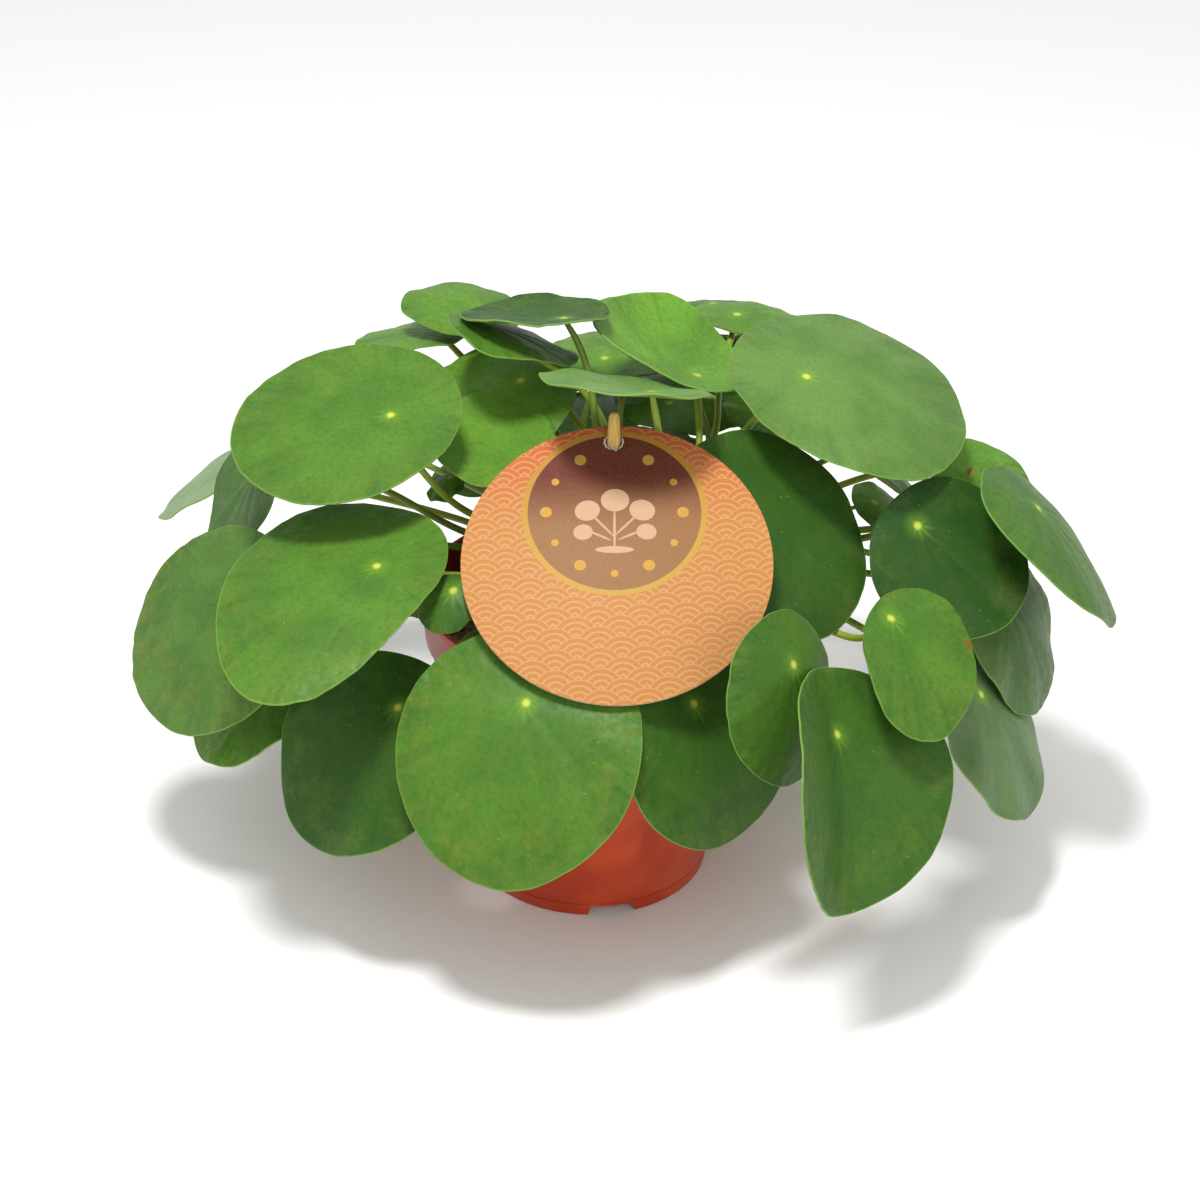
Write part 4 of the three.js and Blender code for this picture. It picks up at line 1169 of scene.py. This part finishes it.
# %% [markdown]
# The print is drawn by the finish alone, in the card's own millimetres, which a Mapping node finds from
# the place. The wave pattern is the common one of overlapping fans: rows of circles, each row shifted by
# half a circle and covering the row above. At any place it is enough to look at two rows: if the lower
# circle covers the place, it shows, and otherwise the upper one does. The picture in the brown round is
# made of ovals, each a circle that one more Mapping node moves, turns and stretches: a sprig of round
# leaves, with dots round it.

# %% Card finish
PRINT_TURN = 2.7
WAVE_WIDTH = 14.9
WAVE_ROW = 3.85
WAVE_LINES = 3.4
PICTURE_CENTRE = (-0.8, 19.0)
PICTURE_RADIUS = 29.4
RING_RADIUS = 31.4
DOTS = 11
DOT_RING = 23.2
DOT_SIZES = (2.6, 4.0)
SOFT_EDGE = 0.1
SPRIG_DROP = 7
NO_DEPTH = 1e6
SPRIG = [  # the middle's place, the length and width, and the turn of each oval
    (0, 0.5, 16, 0.9, 90), (-4.2, 2.2, 12, 0.8, 132), (4.4, 2.6, 12, 0.8, 46), (0, -7.2, 13, 2.6, 0),
    (-5.2, -1.8, 9, 0.8, 155), (5.4, -1.6, 9, 0.8, 24),
    (0.2, 11.6, 9.6, 8.6, 0), (-9.2, 7.6, 8.6, 7.6, 20), (9.4, 7.8, 8.8, 7.8, -20),
    (-10.6, -0.6, 6.6, 5.8, 10), (10.8, -0.4, 6.8, 6.0, -10),
]


def fan(add, parts, row):
    """How far a place is from the middle of its circle in a row, as a share of the circle's radius."""
    parity = add("Math", {0: row, 1: 2.0}, operation="FLOORED_MODULO")
    shift = add("Math", {0: parity, 1: WAVE_WIDTH / 2}, operation="MULTIPLY")
    x = add("Math", {0: parts["X"], 1: shift}, operation="SUBTRACT")
    middle = add("Math", {0: x, 1: WAVE_WIDTH}, operation="SNAP")
    x = add("Math", {0: x, 1: middle}, operation="SUBTRACT")
    x = add("Math", {0: x, 1: WAVE_WIDTH / 2}, operation="SUBTRACT")
    y = add("Math", {0: row, 1: -WAVE_ROW, 2: parts["Y"]}, operation="MULTIPLY_ADD")
    flat = add("CombineXYZ", {"X": x, "Y": y})
    distance = add("VectorMath", {0: flat}, out="Value", operation="LENGTH")
    return add("Math", {0: distance, 1: WAVE_WIDTH / 2}, operation="DIVIDE")


def ovals(add, place, rows):
    """1 where any of the ovals covers the place, with a slightly soft edge."""
    covered = 0.0
    for x, y, length, width, turn in rows:
        own = add("Mapping", {"Vector": place, "Location": (x, y, 0), "Rotation": (0, 0, math.radians(turn)),
                              "Scale": (length / 2, width / 2, NO_DEPTH)}, vector_type="TEXTURE")
        away = add("VectorMath", {0: own}, out="Value", operation="LENGTH")
        inside = add("MapRange", {0: away, 1: 1 + SOFT_EDGE / width, 2: 1 - SOFT_EDGE / width})
        covered = add("Math", {0: covered, 1: inside}, operation="MAXIMUM")
    return covered


def printed_card(add):
    place = add("TexCoord", out="Object")
    lean = (math.radians(90 - CARD_LEAN), 0, 0)
    own_place = add("Mapping", {"Vector": place, "Location": CARD_CENTRE * MM, "Rotation": lean,
                                "Scale": (MM, MM, MM)}, vector_type="TEXTURE")
    turned = add("VectorRotate", {"Vector": own_place, "Angle": math.radians(-PRINT_TURN)})
    split = add("SeparateXYZ", {0: turned}).node
    parts = {axis: split.outputs[axis] for axis in "XYZ"}

    # two rows of fans
    upper_row = add("Math", {0: parts["Y"], 1: WAVE_ROW}, operation="DIVIDE")
    upper_row = add("Math", {0: upper_row}, operation="FLOOR")
    lower_row = add("Math", {0: upper_row, 1: 1.0}, operation="SUBTRACT")
    upper, lower = (fan(add, parts, row) for row in (upper_row, lower_row))
    covered = add("Math", {0: lower, 1: 1.0}, operation="LESS_THAN")
    radius = add("Mix", {0: covered, 2: upper, 3: lower}, data_type="FLOAT")
    lines = add("Math", {0: radius, 1: WAVE_LINES}, operation="MULTIPLY")
    lines = add("Math", {0: lines, 1: 0.62}, operation="ADD")
    lines = add("Math", {0: lines, 1: 0.5}, operation="PINGPONG")
    ink = add("MapRange", {0: lines, 1: 0.12, 2: 0.2}, **SMOOTH)
    # the colours change with the height on the card and turn redder towards its top, where the waves are
    # painted lighter than the print, as painted light that makes up for the shadow the leaves above throw
    height = add("MapRange", {0: parts["Y"], 1: 10.0, 2: 52.0}, **SMOOTH)
    wave_ink = add("Mix", {0: height, 6: "#ae6f2e", 7: "#b2521f"}, **COLOURS)
    ground = add("Mix", {0: height, 6: "#b38753", 7: "#ba7942"}, **COLOURS)
    waves = add("Mix", {0: ink, 6: ground, 7: wave_ink}, **COLOURS)

    # the gold ring and the brown round inside it
    middle = (*PICTURE_CENTRE, 0)
    in_picture = add("VectorMath", {0: own_place, 1: middle}, operation="SUBTRACT")
    away = add("VectorMath", {0: in_picture}, out="Value", operation="LENGTH")
    ring, disc = (add("MapRange", {0: away, 1: edge - SOFT_EDGE, 2: edge + SOFT_EDGE, 3: 1.0, 4: 0.0})
                  for edge in (RING_RADIUS, PICTURE_RADIUS))
    # the gold and the brown darken towards the card's top; the brown's top is painted lighter than the print,
    # as painted light against the shadow of the leaves there
    gold = add("MapRange", {0: parts["Y"], 1: 0.0, 2: 48.0}, **SMOOTH)
    gold = add("Mix", {0: gold, 6: "#af8730", 7: "#a8751b"}, **COLOURS)
    brown = add("MapRange", {0: parts["Y"], 1: 11.0, 2: 36.0}, **SMOOTH)
    brown = add("Mix", {0: brown, 6: "#875d33", 7: "#5e2005"}, **COLOURS)

    # the sprig, and a ring of gold dots that leaves room for the stick
    sprig = [(x, y - SPRIG_DROP, length, width, turn) for x, y, length, width, turn in SPRIG]
    dots = []
    for i in range(1, DOTS + 1):
        angle, size = math.radians(90 + 360 * i / (DOTS + 1)), DOT_SIZES[i % 2]
        dots.append((DOT_RING * math.cos(angle), DOT_RING * math.sin(angle), size, size, 0))

    # the bare back, and paper that isn't perfectly even
    back = add("Math", {0: parts["Z"], 1: 0.0}, operation="LESS_THAN")
    fibres = add("TexNoise", {"Vector": own_place, "Scale": 3.0, "Detail": 4})
    tint = add("MapRange", {0: fibres, 1: 0.3, 2: 0.8, 3: 0.0, 4: 0.06}, **SMOOTH)
    colour = waves
    for cover, layer in ((ring, gold), (disc, brown), (ovals(add, in_picture, sprig), "#b79171"),
                         (ovals(add, in_picture, dots), "#b5852d"), (back, "#c9c4ba"), (tint, "#ffffff")):
        colour = add("Mix", {0: cover, 6: colour, 7: layer}, **COLOURS)
    skin = add("Bump", {"Height": fibres, "Distance": 0.02 * MM})
    return {"Base Color": colour, "Normal": skin, "Roughness": 0.5, "Specular IOR Level": 0.12}


def turned_birch(add):
    grain = add("Attribute", out="Vector", attribute_name="grain")
    long_grain = add("VectorMath", {0: grain, 1: (1, 1, 0.05)}, operation="MULTIPLY")
    fibres = add("TexNoise", {"Vector": long_grain, "Scale": 1 / 0.6, "Detail": 4})
    share = add("MapRange", {0: fibres, 1: 0.3, 2: 0.7}, **SMOOTH)
    colour = add("Mix", {0: share, 6: "#c0994e", 7: "#d8b76e"}, **COLOURS)
    skin = add("Bump", {"Height": fibres, "Distance": 0.08 * MM})
    return {"Base Color": colour, "Normal": skin, "Roughness": 0.7, "Specular IOR Level": 0.25}


def torn_paper():
    """Ragged fibres that the stick pushed up round the hole."""
    bm = spun(TEAR_PROFILE, TEAR_RAYS)
    bmesh.ops.remove_doubles(bm, verts=bm.verts, dist=WELD)
    lowest, highest = TEAR_PROFILE[0][1], TEAR_PROFILE[-1][1]
    for vert in bm.verts:
        share = (vert.co.z - lowest) / (highest - lowest)
        way = Vector((vert.co.x, vert.co.y, 0)).normalized()
        ragged = 0.45 + 0.9 * noise.noise(way * 2.3) + 1.3 * noise.noise(way * 8)
        front_share = 0.5 - 0.5 * way.y
        vert.co.z = lowest + (highest - lowest) * share * max(0.1, ragged) * max(0.1, front_share * 2)
        vert.co += way * share * 0.5 * noise.noise(way * 5 + Vector((0, 0, 7)))
    bmesh.ops.solidify(bm, geom=bm.faces[:], thickness=TEAR_THICKNESS)
    bmesh.ops.recalc_face_normals(bm, faces=bm.faces)
    place = Matrix.Translation(hole_point) @ card_place.to_3x3().to_4x4()
    bmesh.ops.transform(bm, matrix=place, verts=bm.verts)
    return bm


def torn_fibres(add):
    place = add("TexCoord", out="Object")
    fibres = add("TexNoise", {"Vector": place, "Scale": 1 / (0.8 * MM), "Detail": 4})
    shade = add("MapRange", {0: fibres, 1: 0.3, 2: 0.7}, **SMOOTH)
    colour = add("Mix", {0: shade, 6: "#b8ab96", 7: "#e4e0d8"}, **COLOURS)
    skin = add("Bump", {"Height": fibres, "Distance": 0.2 * MM})
    return {"Base Color": colour, "Normal": skin, "Roughness": 0.9}


CARD_FINISH = make_finish("printed and varnished card", printed_card)
card = finish_piece("card", card_shape(), CARD_FINISH, ["tag"])
finish_piece("card_tear", torn_paper(), make_finish("torn paper fibres", torn_fibres))
cut(card, cutter(hole_cutter()))
WOOD_FINISH = make_finish("bare turned birch", turned_birch)
finish_piece("stick_round", stick_shape(), WOOD_FINISH, ["stick"])
print("card points", len(card.data.vertices))
